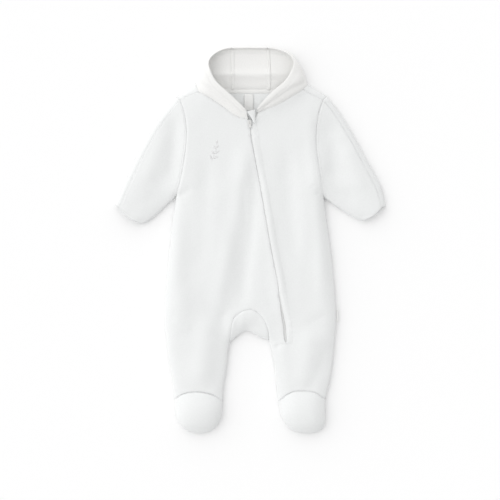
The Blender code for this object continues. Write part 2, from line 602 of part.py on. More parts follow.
def section(rim, fold, foot_at, end, crease):
    """One row of a hood panel: rim, over the fold, down to its foot and on to the end."""
    rim, fold, foot_at, end = (np.asarray(p, float) for p in (rim, fold, foot_at, end))
    half = math.sqrt(0.5)
    upper = rim + (fold - rim) * np.array([half, half, 1.0 - half])
    lower = fold + (foot_at - fold) * np.array([1.0 - half, 1.0 - half, half])
    floor = [foot_at + share * (end - foot_at) + np.array([0.0, 0.0, crease * lift])
             for share, lift in zip(CREASE_AT, CREASE_SHARE)]
    return [rim, upper, fold, lower, foot_at] + floor + [end]


def hood_side(side):
    strip = shoulder(side)
    nape = np.array([(x, y, 0.0) for x, y in NAPE_SEAM[side][::-1]])
    neck = lifted(neck_plan(side), top)
    ends = np.vstack([nape, strip[::-1, -1], neck[1:]])
    table = HOOD_ROWS[side]
    grid = [section(row[:3], row[3:6], row[6:9], end, row[9]) for row, end in zip(table, ends)]
    rims = along((table[-1][:3],) + LAPEL_RIM[side],
                 np.linspace(0.0, 1.0, len(neck)))[1:]
    fade = np.linspace(1.0, 0.1, len(rims))
    for rim, end, share in zip(rims, neck[1:], fade):
        bulge = np.array([0.0, 0.0, LAPEL_BULGE * share])
        fold = rim + 0.45 * (end - rim) + bulge
        foot_at = rim + 0.75 * (end - rim) + 0.6 * bulge
        grid.append(section(rim, fold, foot_at, end, 0.0))
    return [(np.array(grid), (-1.0 if side == WEARER_RIGHT else 1.0, 0.0, 0.2))]


def hood_centre():
    edges = []
    for side in (WEARER_RIGHT, WEARER_LEFT):
        row = HOOD_ROWS[side][0]
        x, y = NAPE_SEAM[side][-1]
        edges.append(section(row[:3], row[3:6], row[6:9], (x, y, 0.0), row[9]))
    a, b = np.array(edges)
    middle = (a + b) / 2
    middle[-1, :2] = BACK_LINE[0]
    return [(np.array([a, middle, b]), DOWN)]


PANELS = {
    "front_panel": front_panel(),
    "back_panel": back_panel(),
    "crotch_gusset": gusset(),
    "sleeve_front_right": sleeve_front(WEARER_RIGHT),
    "sleeve_front_left": sleeve_front(WEARER_LEFT),
    "sleeve_back_right": sleeve_back(WEARER_RIGHT),
    "sleeve_back_left": sleeve_back(WEARER_LEFT),
    "foot_top_right": foot(WEARER_RIGHT, top, UP),
    "foot_top_left": foot(WEARER_LEFT, top, UP),
    "foot_sole_right": foot(WEARER_RIGHT, under, DOWN),
    "foot_sole_left": foot(WEARER_LEFT, under, DOWN),
    "hood_side_right": hood_side(WEARER_RIGHT),
    "hood_side_left": hood_side(WEARER_LEFT),
    "hood_centre": hood_centre(),
}


# ---- walls ------------------------------------------------------------------------------
def key(point):
    return tuple(np.round(point, 3) + 0.0)


def gathered(sheets):
    """Points and faces of sheets that share the points where they meet."""
    points, index, faces = [], {}, []
    for grid, facing in sheets:
        across = grid.shape[1]
        ids = []
        for point in grid.reshape(-1, 3):
            name = key(point)
            if name not in index:
                index[name] = len(points)
                points.append(point)
            ids.append(index[name])
        loops = [(i * across + j, (i + 1) * across + j, (i + 1) * across + j + 1,
                  i * across + j + 1)
                 for i in range(grid.shape[0] - 1) for j in range(across - 1)]
        flat = grid.reshape(-1, 3)
        corners = flat[np.array(loops)]
        mean = np.cross(corners[:, 2] - corners[:, 0], corners[:, 3] - corners[:, 1])
        turned = mean.sum(axis=0) @ np.array(facing) < 0
        for loop in loops:
            face = list(dict.fromkeys(ids[k] for k in loop))
            if len(face) > 2:
                faces.append(split_short(points, face[::-1] if turned else face))
    return np.array(points), faces


def split_short(points, face):
    """Starts a face of four corners so that it splits along its shorter diagonal."""
    if len(face) == 4:
        a, b, c, d = (points[corner] for corner in face)
        if np.linalg.norm(a - c) > np.linalg.norm(b - d):
            return face[1:] + face[:1]
    return face


def face_normal(points, face):
    a, b, c, d = (points[face[k]] for k in (0, 1, 2, -1))
    return np.cross(c - a, d - b)


def shared_normals(pieces):
    """Normals of the whole outer face, the same on both sides of every seam."""
    total = {}
    for points, faces in pieces.values():
        for face in faces:
            normal = face_normal(points, face)
            normal = normal / np.linalg.norm(normal)
            for corner in face:
                name = key(points[corner])
                total[name] = total.get(name, 0.0) + normal
    names = list(total)
    spots = np.array(names)
    on_edge = ((from_edge(spots[:, :2]) < 0.3)
               & (np.abs(spots[:, 2] - edge_height(spots[:, :2])) < 0.01))
    result = {}
    for name, flat in zip(names, on_edge):
        normal = total[name] * (np.array([1.0, 1.0, 0.0]) if flat else 1.0)
        result[name] = normal / np.linalg.norm(normal)
    return result


def drawn_back(points, faces, normals):
    """The step into the piece for each point on an open edge, and the open edges."""
    directed = {(a, b): face for face in faces for a, b in zip(face, face[1:] + face[:1])}
    border = sorted((a, b) for a, b in directed if (b, a) not in directed)
    inward = {}
    for a, b in border:
        along_face = np.cross(face_normal(points, directed[(a, b)]), points[b] - points[a])
        along_face = along_face / np.linalg.norm(along_face)
        for corner in (a, b):
            across = np.cross(normals[corner], points[b] - points[a])
            step = along_face + across / np.linalg.norm(across)
            inward.setdefault(corner, []).append(step / np.linalg.norm(step))
    draw = np.zeros_like(points)
    for corner, steps in inward.items():
        both = sum(steps)
        scale = 1.0 + (steps[0] @ steps[-1] if len(steps) == 2 else 0.0)
        draw[corner] = both / max(scale, 0.6)
    return draw, border


def wall(name, points, faces, normals, thickness, finish):
    """A closed wall between outer points and their copies on the inner side."""
    draw, border = drawn_back(points, faces, normals)
    outer = points + draw * SEAM_GAP / 2
    inner = outer - normals * thickness + draw * SEAM_SPREAD
    count = len(outer)
    loops = [list(face) for face in faces]
    loops += [[corner + count for corner in face[:1] + face[:0:-1]] for face in faces]
    for a, b in border:
        if key(points[a]) < key(points[b]):
            loops += [[b, a, b + count], [a, a + count, b + count]]
        else:
            loops += [[b, a, a + count], [b, a + count, b + count]]
    mesh = bpy.data.meshes.new(name)
    mesh.from_pydata((np.vstack([outer, inner]) * MM).tolist(), [], loops)
    mesh.shade_smooth()
    mesh.set_sharp_from_angle(angle=math.radians(40.0))
    return add_object(name, mesh, finish)


def add_object(name, mesh, finish):
    item = bpy.data.objects.new(name, mesh)
    material = bpy.data.materials.new(name)
    material.use_nodes = True
    colour, roughness, metallic = FINISHES[finish]
    shader = material.node_tree.nodes["Principled BSDF"]
    shader.inputs["Base Color"].default_value = colour
    shader.inputs["Roughness"].default_value = roughness
    shader.inputs["Metallic"].default_value = metallic
    material.diffuse_color = colour
    mesh.materials.append(material)
    PART.objects.link(item)
    return item


# ---- zip, guard and labels ----------------------------------------------------------------
def under_front(points, step):
    """Points of the front's outer face, or between them, moved in to the tape's face."""
    normals = np.array([NORMALS[key(p)] for p in points])
    return points - normals * step


def zip_tape():
    """The tape behind the slit: four points a row, from one edge to the other."""
    _, middle, far = front_grids()
    rows = []
    for left, right in zip(middle[1:ZIP_END_ROW], far[1:ZIP_END_ROW]):
        spots = np.array([left[-2], left[-1], right[0], right[1]])
        spots = under_front(lifted(spots, top), CLOTH + ON_SURFACE)
        spots[0] = spots[1] + 0.9 * (spots[0] - spots[1])
        spots[3] = spots[2] + 0.8 * (spots[3] - spots[2])
        rows.append(spots)
    up = np.array([-math.sin(ZIP_TILT), math.cos(ZIP_TILT), 0.0]) * TAPE_TOP
    rows = [rows[0] + up - np.array([0.0, 0.0, ON_SURFACE])] + rows
    points, faces = gathered([(np.array(rows), UP)])
    wall("zip_tape", points, faces, np.tile(UP, (len(points), 1)), TAPE, "tape")


def block(name, size, at):
    """A box as a mesh: its size and the place of its middle, in millimetres."""
    form = bmesh.new()
    bmesh.ops.create_cube(form, size=1.0)
    bmesh.ops.scale(form, vec=Vector(size) * MM, verts=form.verts)
    bmesh.ops.translate(form, vec=Vector(at) * MM, verts=form.verts)
    mesh = bpy.data.meshes.new(name)
    form.to_mesh(mesh)
    form.free()
    return mesh


def bridge():
    """The wire loop that stands on the slider's plate, as a mesh on the plate's top."""
    path = ((1.0, -0.8), (1.0, 0.6), (0.68, 1.0), (-0.68, 1.0), (-1.0, 0.6), (-1.0, -0.8))
    curve = bpy.data.curves.new("bridge", "CURVE")
    curve.dimensions = "3D"
    curve.bevel_depth = BRIDGE_WIRE * MM
    curve.bevel_resolution = 2
    curve.use_fill_caps = True
    spline = curve.splines.new("POLY")
    spline.points.add(len(path) - 1)
    for point, (y, z) in zip(spline.points, path):
        height = BRIDGE_HEIGHT * z if z > 0 else z
        point.co = (0.0, BRIDGE_REACH * y * MM, (SLIDER_PLATE[2] + height) * MM, 1.0)
    holder = bpy.data.objects.new("bridge", curve)
    CUTTERS.objects.link(holder)
    graph = bpy.context.evaluated_depsgraph_get()
    mesh = bpy.data.meshes.new_from_object(holder.evaluated_get(graph))
    bpy.data.objects.remove(holder)
    form = bmesh.new()
    form.from_mesh(mesh)
    bmesh.ops.remove_doubles(form, verts=form.verts, dist=1e-6)
    form.to_mesh(mesh)
    form.free()
    return mesh


def combine(item, operation, mesh):
    """Adds or cuts a mesh by a Boolean; its object goes with the cutters."""
    tool = bpy.data.objects.new(item.name + "_" + operation.lower(), mesh)
    tool.matrix_world = item.matrix_world
    tool.hide_render = True
    tool.display_type = "WIRE"
    CUTTERS.objects.link(tool)
    step = item.modifiers.new(tool.name, "BOOLEAN")
    step.operation = operation
    step.object = tool


def softened(item, width):
    bevel = item.modifiers.new("soft edges", "BEVEL")
    bevel.width = width * MM
    bevel.segments = 2


def slider_place():
    """Where the slider's plate rests, turned to the zip's line."""
    half = np.array(SLIDER_PLATE[:2]) / 2
    spots = np.array(SLIDER_AT) + half * np.array([(-1, -1), (1, -1), (1, 1), (-1, 1), (0, 0)])
    height = top(spots).max() + ON_SURFACE
    return (Matrix.Translation(Vector((SLIDER_AT[0], SLIDER_AT[1], height)) * MM)
            @ Matrix.Rotation(ZIP_TILT, 4, "Z"))


def zip_slider():
    width, length, thick = SLIDER_PLATE
    plate = block("zip_slider", SLIDER_PLATE, (0.0, 0.0, thick / 2))
    item = add_object("zip_slider", plate, "metal")
    item.matrix_world = slider_place()
    softened(item, 0.35)
    neck = block("slider_neck", SLIDER_NECK, (0.0, 0.0, 0.4 - SLIDER_NECK[2] / 2))
    combine(item, "UNION", neck)
    combine(item, "UNION", bridge())


def pull_tab():
    """The tab, its origin on the axis that it turns about under the bridge."""
    width, length, thick = TAB
    head = TAB_BAR / 2
    item = add_object("pull_tab", block("pull_tab", TAB, (0.0, head - length / 2, 0.0)), "metal")
    axis = Vector((0.0, TAB_AXIS[0], SLIDER_PLATE[2] + TAB_AXIS[1])) * MM
    item.matrix_world = slider_place() @ Matrix.Translation(axis)
    softened(item, 0.3)
    slot = (TAB_SLOT[0], TAB_SLOT[1], 2 * thick)
    combine(item, "DIFFERENCE", block("tab_slot", slot, (0.0, -head - TAB_SLOT[1] / 2, 0.0)))


def chin_guard():
    """The folded flap beside the slider: wide at the top, narrow at its low tip."""
    corners = np.array([xy + (lift,) for xy, lift in zip(GUARD_CORNERS, GUARD_LIFT)])
    rows = []
    for v in GUARD_ROWS:
        a = corners[0] + v * (corners[3] - corners[0])
        b = corners[1] + v * (corners[2] - corners[1])
        row = []
        for u in GUARD_COLUMNS:
            spot = a + u * (b - a)
            bow = GUARD_BOW * math.sin(math.pi * v) * math.sin(math.pi * u)
            base = top(spot[None, :2])[0] + ON_SURFACE + 2 * RIB
            row.append((spot[0], spot[1], base + spot[2] + bow))
        rows.append(row)
    points, faces = gathered([(np.array(rows), UP)])
    wall("chin_guard", points, faces, np.tile(UP, (len(points), 1)), 2 * RIB, "fleece")


def neck_label():
    """A blank woven strip on the inner face of the back, arched a little."""
    (x0, x1), (y0, y1) = NECK_LABEL
    rows = []
    for v in np.linspace(0.0, 1.0, 5):
        height = CLOTH + ON_SURFACE + LABEL + NECK_LABEL_ARCH * math.sin(math.pi * v)
        rows.append([(x, y0 + v * (y1 - y0), height) for x in np.linspace(x0, x1, 4)])
    points, faces = gathered([(np.array(rows), UP)])
    wall("neck_label", points, faces, np.tile(UP, (len(points), 1)), LABEL, "satin")


def side_label():
    """A blank label folded in two, standing out from the side seam at +X."""
    low, high = np.array(SIDE_LABEL).T
    item = add_object("side_label", block("side_label", high - low, (low + high) / 2), "satin")
    softened(item, 0.3)


# ---- build ------------------------------------------------------------------------------
for item in list(bpy.data.objects):
    bpy.data.objects.remove(item)
PART = bpy.data.collections.new("baby_overall")
CUTTERS = bpy.data.collections.new("baby_overall_cutters")
for group in (PART, CUTTERS):
    bpy.context.scene.collection.children.link(group)

PIECES = {name: gathered(sheets) for name, sheets in PANELS.items()}
NORMALS = shared_normals(PIECES)
for name, (points, faces) in PIECES.items():
    wall(name, points, faces, np.array([NORMALS[key(p)] for p in points]), CLOTH, "fleece")
zip_tape()
zip_slider()
pull_tab()
chin_guard()
neck_label()
side_label()
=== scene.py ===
"""The looks of a baby's hooded, footed fleece overall that lies flat on its back.

The cloth of each cut piece is drawn out of its solid's outer face, softened, creased and
given a pile. Seams sink between plump edges and are stitched beside, and the
slanting zip has its tape, teeth, slider and folded chin guard. Sizes are in metres; a
comment or a table says where they are millimetres. The wearer's right is at -X.
"""
import functools
import itertools
import json
import math

import bmesh
import bpy
import numpy as np
from mathutils import Matrix, Vector, noise
from mathutils.bvhtree import BVHTree
from mathutils.kdtree import KDTree

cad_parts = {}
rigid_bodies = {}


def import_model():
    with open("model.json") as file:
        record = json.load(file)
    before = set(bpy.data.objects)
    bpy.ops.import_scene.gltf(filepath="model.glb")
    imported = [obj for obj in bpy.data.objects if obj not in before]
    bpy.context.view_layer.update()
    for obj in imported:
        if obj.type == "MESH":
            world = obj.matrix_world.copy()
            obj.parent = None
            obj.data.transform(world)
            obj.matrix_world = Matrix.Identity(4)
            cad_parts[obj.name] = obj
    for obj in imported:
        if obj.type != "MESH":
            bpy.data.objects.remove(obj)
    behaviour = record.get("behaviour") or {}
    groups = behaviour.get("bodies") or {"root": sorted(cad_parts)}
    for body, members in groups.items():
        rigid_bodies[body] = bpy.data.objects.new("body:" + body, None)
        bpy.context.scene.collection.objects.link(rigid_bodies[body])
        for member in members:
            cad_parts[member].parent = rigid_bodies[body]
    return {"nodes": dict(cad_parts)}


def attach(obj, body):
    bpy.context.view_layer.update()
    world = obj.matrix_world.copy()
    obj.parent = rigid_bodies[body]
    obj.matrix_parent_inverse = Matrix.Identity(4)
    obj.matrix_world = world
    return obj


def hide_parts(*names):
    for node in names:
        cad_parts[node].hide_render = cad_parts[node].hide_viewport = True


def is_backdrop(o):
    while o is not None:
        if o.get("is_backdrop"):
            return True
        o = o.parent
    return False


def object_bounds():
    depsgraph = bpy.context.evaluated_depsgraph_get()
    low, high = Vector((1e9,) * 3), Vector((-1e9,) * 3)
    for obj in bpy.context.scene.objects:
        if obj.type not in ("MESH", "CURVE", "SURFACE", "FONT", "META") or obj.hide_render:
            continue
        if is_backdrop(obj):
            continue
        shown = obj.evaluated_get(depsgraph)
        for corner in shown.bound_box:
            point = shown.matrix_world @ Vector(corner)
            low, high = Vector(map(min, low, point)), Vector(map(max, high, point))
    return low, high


for left_over in list(bpy.data.objects):          # what a new file starts with
    bpy.data.objects.remove(left_over)
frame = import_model()
bpy.context.view_layer.update()
CAD_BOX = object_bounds()

bl_info = {
    "name": "Baby overall",
    "version": (1, 0, 0),
    "blender": (4, 5, 0),
    "location": "3D Viewport > Sidebar > Overall",
    "description": "Cloth, sewing, zip and studio for a hooded, footed fleece overall",
    "category": "Object",
}

MM = 0.001
GARMENT = "garment"

# ---- cut pieces: right and left are the wearer's -------------------------------------
BODY = ("front_panel", "back_panel", "crotch_gusset")
SLEEVES = ("sleeve_front_right", "sleeve_front_left", "sleeve_back_right", "sleeve_back_left")
FEET = ("foot_top_right", "foot_top_left", "foot_sole_right", "foot_sole_left")
HOOD = ("hood_side_right", "hood_side_left", "hood_centre")
# what shows of each piece, laid flat: width and length in metres, area in square metres
CUTS = {
    "front_panel": (0.33, 0.58, 0.134),
    "back_panel": (0.33, 0.60, 0.139),
    "crotch_gusset": (0.11, 0.09, 0.0057),
    "sleeve_front_right": (0.10, 0.22, 0.0143),
    "sleeve_front_left": (0.10, 0.22, 0.0143),
    "sleeve_back_right": (0.13, 0.24, 0.0190),
    "sleeve_back_left": (0.13, 0.24, 0.0190),
    "foot_top_right": (0.10, 0.09, 0.0067),
    "foot_top_left": (0.10, 0.09, 0.0067),
    "foot_sole_right": (0.09, 0.08, 0.0057),
    "foot_sole_left": (0.09, 0.08, 0.0057),
    "hood_side_right": (0.12, 0.16, 0.0092),
    "hood_side_left": (0.11, 0.16, 0.0089),
    "hood_centre": (0.07, 0.09, 0.0059),
    "zip_tape": (0.022, 0.41, 0.0078),
    "chin_guard": (0.014, 0.028, 0.00022),
    "neck_label": (0.0165, 0.031, 0.0005),
    "side_label": (0.0105, 0.0228, 0.00009),
}
# how often the faces of each kind of piece are halved to round it
CLOTH_LEVELS = 3
STRIP_LEVELS = 1
TAPE_LEVELS = 2
GUARD_LEVELS = 3
NECK_LABEL_LEVELS = 3
SIDE_LABEL_LEVELS = 2


# ---- settings ------------------------------------------------------------------------
class OverallCloth(bpy.types.PropertyGroup):
    """Sizes and colours of the cloth and its sewing."""
    thickness: bpy.props.FloatProperty(
        name="Cloth", description="Thickness of the fleece", default=1.9 * MM,
        subtype="DISTANCE", unit="LENGTH")
    colour: bpy.props.FloatVectorProperty(
        name="Fleece", description="Colour of the fleece", default=(0.808, 0.818, 0.816),
        subtype="COLOR", min=0.0, max=1.0)
    # the hood's colour is the fleece's own made lighter and warmer: painted light on the hood
    hood_painted_light_colour: bpy.props.FloatVectorProperty(
        name="Hood", description="Colour of the hood, a little warmer",
        default=(0.85, 0.847, 0.833), subtype="COLOR", min=0.0, max=1.0)
    thread_colour: bpy.props.FloatVectorProperty(
        name="Thread", description="Colour of the sewing", default=(0.80, 0.80, 0.80),
        subtype="COLOR", min=0.0, max=1.0)
    label_colour: bpy.props.FloatVectorProperty(
        name="Label", description="Colour of the woven labels", default=(0.84, 0.84, 0.83),
        subtype="COLOR", min=0.0, max=1.0)
    seam_depth: bpy.props.FloatProperty(
        name="Seam", description="How deep the cloth's edge sinks in a seam",
        default=0.15 * MM, subtype="DISTANCE", unit="LENGTH")
    stitch_depth: bpy.props.FloatProperty(
        name="Stitching", description="How deep a stitched line sinks in the fleece",
        default=0.45 * MM, subtype="DISTANCE", unit="LENGTH")
    stitch_length: bpy.props.FloatProperty(
        name="Stitch length", description="From one stitch to the next", default=2.6 * MM,
        subtype="DISTANCE", unit="LENGTH")
    thread: bpy.props.FloatProperty(
        name="Thread thickness", description="Across a stitch", default=0.55 * MM,
        subtype="DISTANCE", unit="LENGTH")


class OverallZip(bpy.types.PropertyGroup):
    """Sizes and colours of the zip."""
    pitch: bpy.props.FloatProperty(
        name="Pitch", description="From one tooth to the next on one side", default=1.5 * MM,
        subtype="DISTANCE", unit="LENGTH")
    tooth_width: bpy.props.FloatProperty(
        name="Tooth", description="Across a tooth", default=2.3 * MM,
        subtype="DISTANCE", unit="LENGTH")
    tape_colour: bpy.props.FloatVectorProperty(
        name="Tape", description="Colour of the zip's tape", default=(0.88, 0.89, 0.89),
        subtype="COLOR", min=0.0, max=1.0)
    tooth_colour: bpy.props.FloatVectorProperty(
        name="Teeth", description="Colour of the teeth", default=(0.88, 0.88, 0.87),
        subtype="COLOR", min=0.0, max=1.0)
    metal_colour: bpy.props.FloatVectorProperty(
        name="Slider", description="Colour of the slider and its tab",
        default=(0.70, 0.70, 0.69), subtype="COLOR", min=0.0, max=1.0)


class OverallStage(bpy.types.PropertyGroup):
    """The floor, the lights and the camera."""
    floor_colour: bpy.props.FloatVectorProperty(
        name="Floor", description="Colour of the floor", default=(0.95, 0.95, 0.95),
        subtype="COLOR", min=0.0, max=1.0)
    camera_height: bpy.props.FloatProperty(
        name="Camera", description="Height of the camera over the ground", default=3.0,
        subtype="DISTANCE", unit="LENGTH")
    picture_width: bpy.props.FloatProperty(
        name="Picture", description="Width of the ground that the picture shows",
        default=0.9, subtype="DISTANCE", unit="LENGTH")
    sky: bpy.props.FloatProperty(
        name="Sky", description="Strength of the white light all round", default=1.05)
    sky_slope: bpy.props.FloatProperty(
        name="Sky slope", description="How much brighter it is from the upper left",
        default=0.58, min=0.0, max=1.0)


# ---- numbers and curves --------------------------------------------------------------
BETWEEN = 12                  # points of a curve from one given point to the next
FINE_STEP = 0.8               # millimetres between the points of a seam's line


def smooth(points, step=FINE_STEP):
    """Points about step millimetres apart on a smooth curve through the given ones."""
    p = np.asarray(points, float)
    ends = np.vstack([2 * p[0] - p[1], p, 2 * p[-1] - p[-2]])
    t = np.linspace(0.0, 1.0, BETWEEN, endpoint=False)[:, None]
    spans = [0.5 * (2 * b + (c - a) * t + (2 * a - 5 * b + 4 * c - d) * t ** 2
                    + (3 * b - a - 3 * c + d) * t ** 3)
             for a, b, c, d in zip(ends, ends[1:], ends[2:], ends[3:])]
    line = np.vstack(spans + [p[-1:]])
    return even(line, step)


def even(line, step):
    """The same line with points at equal distances; further columns go along."""
    steps = np.linalg.norm(np.diff(line[:, :3], axis=0), axis=1)
    run = np.concatenate([[0.0], np.cumsum(steps)])
    at = np.linspace(0.0, run[-1], max(int(round(run[-1] / step)), 1) + 1)
    return np.column_stack([np.interp(at, run, line[:, k]) for k in range(line.shape[1])])


def ease(value, low, high):
    """From nought at low to one at high, soft at both ends."""
    t = np.clip((value - low) / (high - low), 0.0, 1.0)
    return t * t * (3.0 - 2.0 * t)


def nearest(line, xy):
    """Distance of each point to a line, and its share along the line."""
    a, b = line[:-1], line[1:]
    step = b - a
    size = np.maximum((step ** 2).sum(axis=1), 1e-12)
    far, share = np.full(len(xy), 1e9), np.zeros(len(xy))
    for i in range(len(a)):
        t = np.clip(((xy - a[i]) @ step[i]) / size[i], 0.0, 1.0)
        reach = np.linalg.norm(xy - (a[i] + t[:, None] * step[i]), axis=1)
        closer = reach < far
        far[closer] = reach[closer]
        share[closer] = (i + t[closer]) / len(a)
    return far, share


def leftwards(line):
    """At each point of a line the unit vector to the left of its way."""
    ahead = np.gradient(line, axis=0)
    left = np.column_stack([-ahead[:, 1], ahead[:, 0]])
    return left / np.linalg.norm(left, axis=1)[:, None]


def tree_of(spots):
    """A tree that tells the number of the spot nearest to a place."""
    tree = KDTree(len(spots))
    for k, spot in enumerate(spots):
        tree.insert(spot, k)
    tree.balance()
    return tree


# ---- the outer face of a solid's wall ------------------------------------------------
WALL_REACH = 4.5 * MM                    # from a corner to its partner through the wall
MERGED = 0.002 * MM                      # corners of triangles this close are one
BEHIND = 0.45                            # cosine that tells a partner behind a face
OPPOSITE = -0.3                          # cosine between the faces of a wall's two sides
LEVEL, NEARLY_LEVEL = 0.9999, 0.99       # a normal's height on a flat, level wall
RAY_START = 0.02 * MM                    # how far under its face a ray starts
FOLDED = math.radians(72.0)              # cloth bends less than this from face to face
ROLLED = math.radians(50.0)              # and at a rolled edge less than this
CORNER = math.radians(40.0)              # an open edge that turns by more has a corner
SHARED = 0.6 * MM                        # points of neighbours this close are one place


def wall_copy(node):
    """A node's wall with its loose triangles merged."""
    form = bmesh.new()
    form.from_mesh(frame["nodes"][node].data)
    bmesh.ops.remove_doubles(form, verts=form.verts, dist=MERGED)
    form.normal_update()
    form.verts.index_update()
    return form


def has_partner(face, corners, by_corners):
    """True where the wall's other side has a like face right behind this one."""
    own = {point.index for point in face.verts}
    behind = []
    for point in face.verts:
        near = corners.find_range(point.co, WALL_REACH)
        behind.append([k for spot, k, far in near if k not in own
                       and (point.co - spot).dot(face.normal) > BEHIND * far])
    for found in itertools.product(*behind):
        other = by_corners.get(frozenset(found))
        if other is not None and other.normal.dot(face.normal) < OPPOSITE:
            return True
    return False


def is_level(face):
    """True for a face that looks straight up or down."""
    return abs(face.normal.z) > LEVEL


def lies_flat(face, surface):
    """True for a level face with the wall's level other side right behind it."""
    start = face.calc_center_median() - face.normal * RAY_START
    spot, normal, _, _ = surface.ray_cast(start, -face.normal, WALL_REACH)
    return is_level(face) and spot is not None and abs(normal.z) > NEARLY_LEVEL


def spread(start, allowed, bend):
    """The allowed faces that are reached over edges that bend less than the angle."""
    found, todo = set(start), list(start)
    while todo:
        for edge in todo.pop().edges:
            if len(edge.link_faces) == 2 and edge.calc_face_angle() < bend:
                for face in edge.link_faces:
                    if face in allowed and face not in found:
                        found.add(face)
                        todo.append(face)
    return found


def wall_sides(form):
    """The two sides of a wall, each a set of faces: the larger, outer one comes first."""
    corners = tree_of([point.co for point in form.verts])
    surface = BVHTree.FromBMesh(form)
    by_corners = {frozenset(p.index for p in face.verts): face for face in form.faces}
    left = {face for face in form.faces
            if has_partner(face, corners, by_corners) or lies_flat(face, surface)}
    sides = []
    while left:
        sides.append(spread([next(iter(left))], left, FOLDED))
        left -= sides[-1]
    sides = sorted(sides, key=lambda side: -sum(face.calc_area() for face in side))[:2]
    for this, other in (sides, sides[::-1]):
        taken = {point for face in other for point in face.verts}
        free = {face for face in form.faces if taken.isdisjoint(face.verts)}
        this |= spread(this, free, ROLLED)
    return sides


def open_edge(form):
    """The points of a sheet's open edge, each with the angle by which the edge turns."""
    for point in form.verts:
        rims = [edge for edge in point.link_edges if edge.is_boundary]
        if len(rims) == 2:
            a, b = (edge.other_vert(point).co - point.co for edge in rims)
            yield point, a.angle(-b)


def outer_face(node, upward=False):
    """The outer side of a node's wall, its triangles joined in pairs.

    A face goes too where one of its points has more inner faces round it than outer
    ones. With upward, for flat tapes, the side that looks up counts as the outer one.
    """
    form = wall_copy(node)
    outer, inner = wall_sides(form)
    if upward and sum(face.normal.z for face in outer) < 0.0:
        outer, inner = inner, outer
    strays = {point for face in outer for point in face.verts
              if sum(f in inner for f in point.link_faces)
              > sum(f in outer for f in point.link_faces)}
    bmesh.ops.delete(form, geom=[face for face in form.faces if face not in outer
                                 or not strays.isdisjoint(face.verts)], context="FACES")
    level = [face for face in form.faces if is_level(face)]
    inside = [edge for edge in form.edges
              if len(edge.link_faces) == 2 and all(map(is_level, edge.link_faces))]
    bmesh.ops.beautify_fill(form, faces=level, edges=inside)
    bmesh.ops.join_triangles(form, faces=form.faces, angle_face_threshold=math.pi,
                             angle_shape_threshold=math.pi)
    return form


def cut_sheets(nodes, upward=False):
    """The outer faces of all nodes as sheets.

    Rounding keeps a sheet's corners sharp, and neighbours keep them at the same places.
    """
    sheets = {node: outer_face(node, upward) for node in nodes}
    corners = [point.co.copy() for form in sheets.values()
               for point, turn in open_edge(form) if turn > CORNER]
    tree = tree_of(corners)
    for form in sheets.values():
        pinned = form.verts.layers.float.new("crease_vert")
        for point, _ in open_edge(form):
            point[pinned] = 1.0 if tree.find(point.co)[2] < SHARED else 0.0
    return sheets


def into_object(name, form):
    """A bmesh as a new object of the scene."""
    mesh = bpy.data.meshes.new(name)
    form.to_mesh(mesh)
    form.free()
    item = bpy.data.objects.new(name, mesh)
    bpy.context.scene.collection.objects.link(item)
    return item


def keep_modified(item):
    """Makes what the object's modifiers show its own mesh."""
    graph = bpy.context.evaluated_depsgraph_get()
    mesh = bpy.data.meshes.new_from_object(item.evaluated_get(graph))
    item.modifiers.clear()
    old = item.data
    item.data = mesh
    bpy.data.meshes.remove(old)
    mesh.name = item.name
    mesh.shade_smooth()


def smoothed(item, levels):
    """Rounds the object's mesh by subdivision and keeps the result."""
    rounder = item.modifiers.new("round", "SUBSURF")
    rounder.levels = rounder.render_levels = levels
    rounder.boundary_smooth = "ALL"
    keep_modified(item)


def spots_and_normals(mesh):
    """The mesh's points and normals in two arrays, points in millimetres."""
    spots = np.empty(len(mesh.vertices) * 3)
    mesh.vertices.foreach_get("co", spots)
    normals = np.empty(len(mesh.vertices) * 3)
    mesh.vertex_normals.foreach_get("vector", normals)
    return spots.reshape(-1, 3) / MM, normals.reshape(-1, 3)


def put_spots(mesh, spots):
    """Moves the mesh's points to the given spots, in millimetres."""
    mesh.vertices.foreach_set("co", (spots * MM).ravel())
    mesh.update()


def border(mesh):
    """The open edge of a sheet as chains of vertex numbers, each in order."""
    form = bmesh.new()
    form.from_mesh(mesh)
    form.verts.ensure_lookup_table()
    following = {}
    for edge in form.edges:
        if edge.is_boundary:
            loop = edge.link_loops[0]
            following[loop.vert.index] = loop.link_loop_next.vert.index
    form.free()
    chains = []
    while following:
        start = next(iter(following))
        chain = [start]
        while chain[-1] in following:
            chain.append(following.pop(chain[-1]))
        chains.append(chain)
    return chains


# ---- seams and sewing, as lines on the plan in millimetres ---------------------------
ARMHOLE_RIGHT = ((-127, 252.8), (-119, 234.5), (-114.8, 214.7), (-113.9, 188.4),
                 (-116.1, 158.8), (-121.5, 126.5), (-127.8, 97.7), (-134.1, 77.9))
ARMHOLE_LEFT = ((130.5, 252.2), (124, 238), (121, 222), (118.6, 205), (116.5, 184.1),
                (117.9, 158.8), (122.8, 126.5), (126.9, 99.5), (130.5, 77.9))
SHOULDER_RIGHT = ((-127, 252.8), (-109.8, 260), (-92.7, 266.1))
SHOULDER_LEFT = ((130.5, 252.2), (112.5, 260.5), (94.5, 270))
NECK_RIGHT = ((-92.7, 266.1), (-72.9, 255.2), (-49, 239), (-31, 225.5), (-18.9, 219.5))
NECK_LEFT = ((94.5, 270), (83.2, 264.4), (56.2, 248), (31.5, 236.2), (16, 229))
SLEEVE_RIGHT = ((-132.3, 256.9), (-165.1, 219.3), (-184, 188.2), (-199.8, 160.5),
                (-213.5, 131.8), (-225, 107.4), (-235.3, 84.3), (-241, 69))
SLEEVE_LEFT = ((137.2, 257.9), (151.9, 241.7), (171.9, 211.6), (188.2, 183.7),
               (201.7, 158.5), (219, 126.5), (235.2, 97.7), (242, 79))
CUFF_RIGHT = ((-238, 66.7), (-228, 53.5), (-218.8, 46.8), (-207, 40), (-195, 36.2))
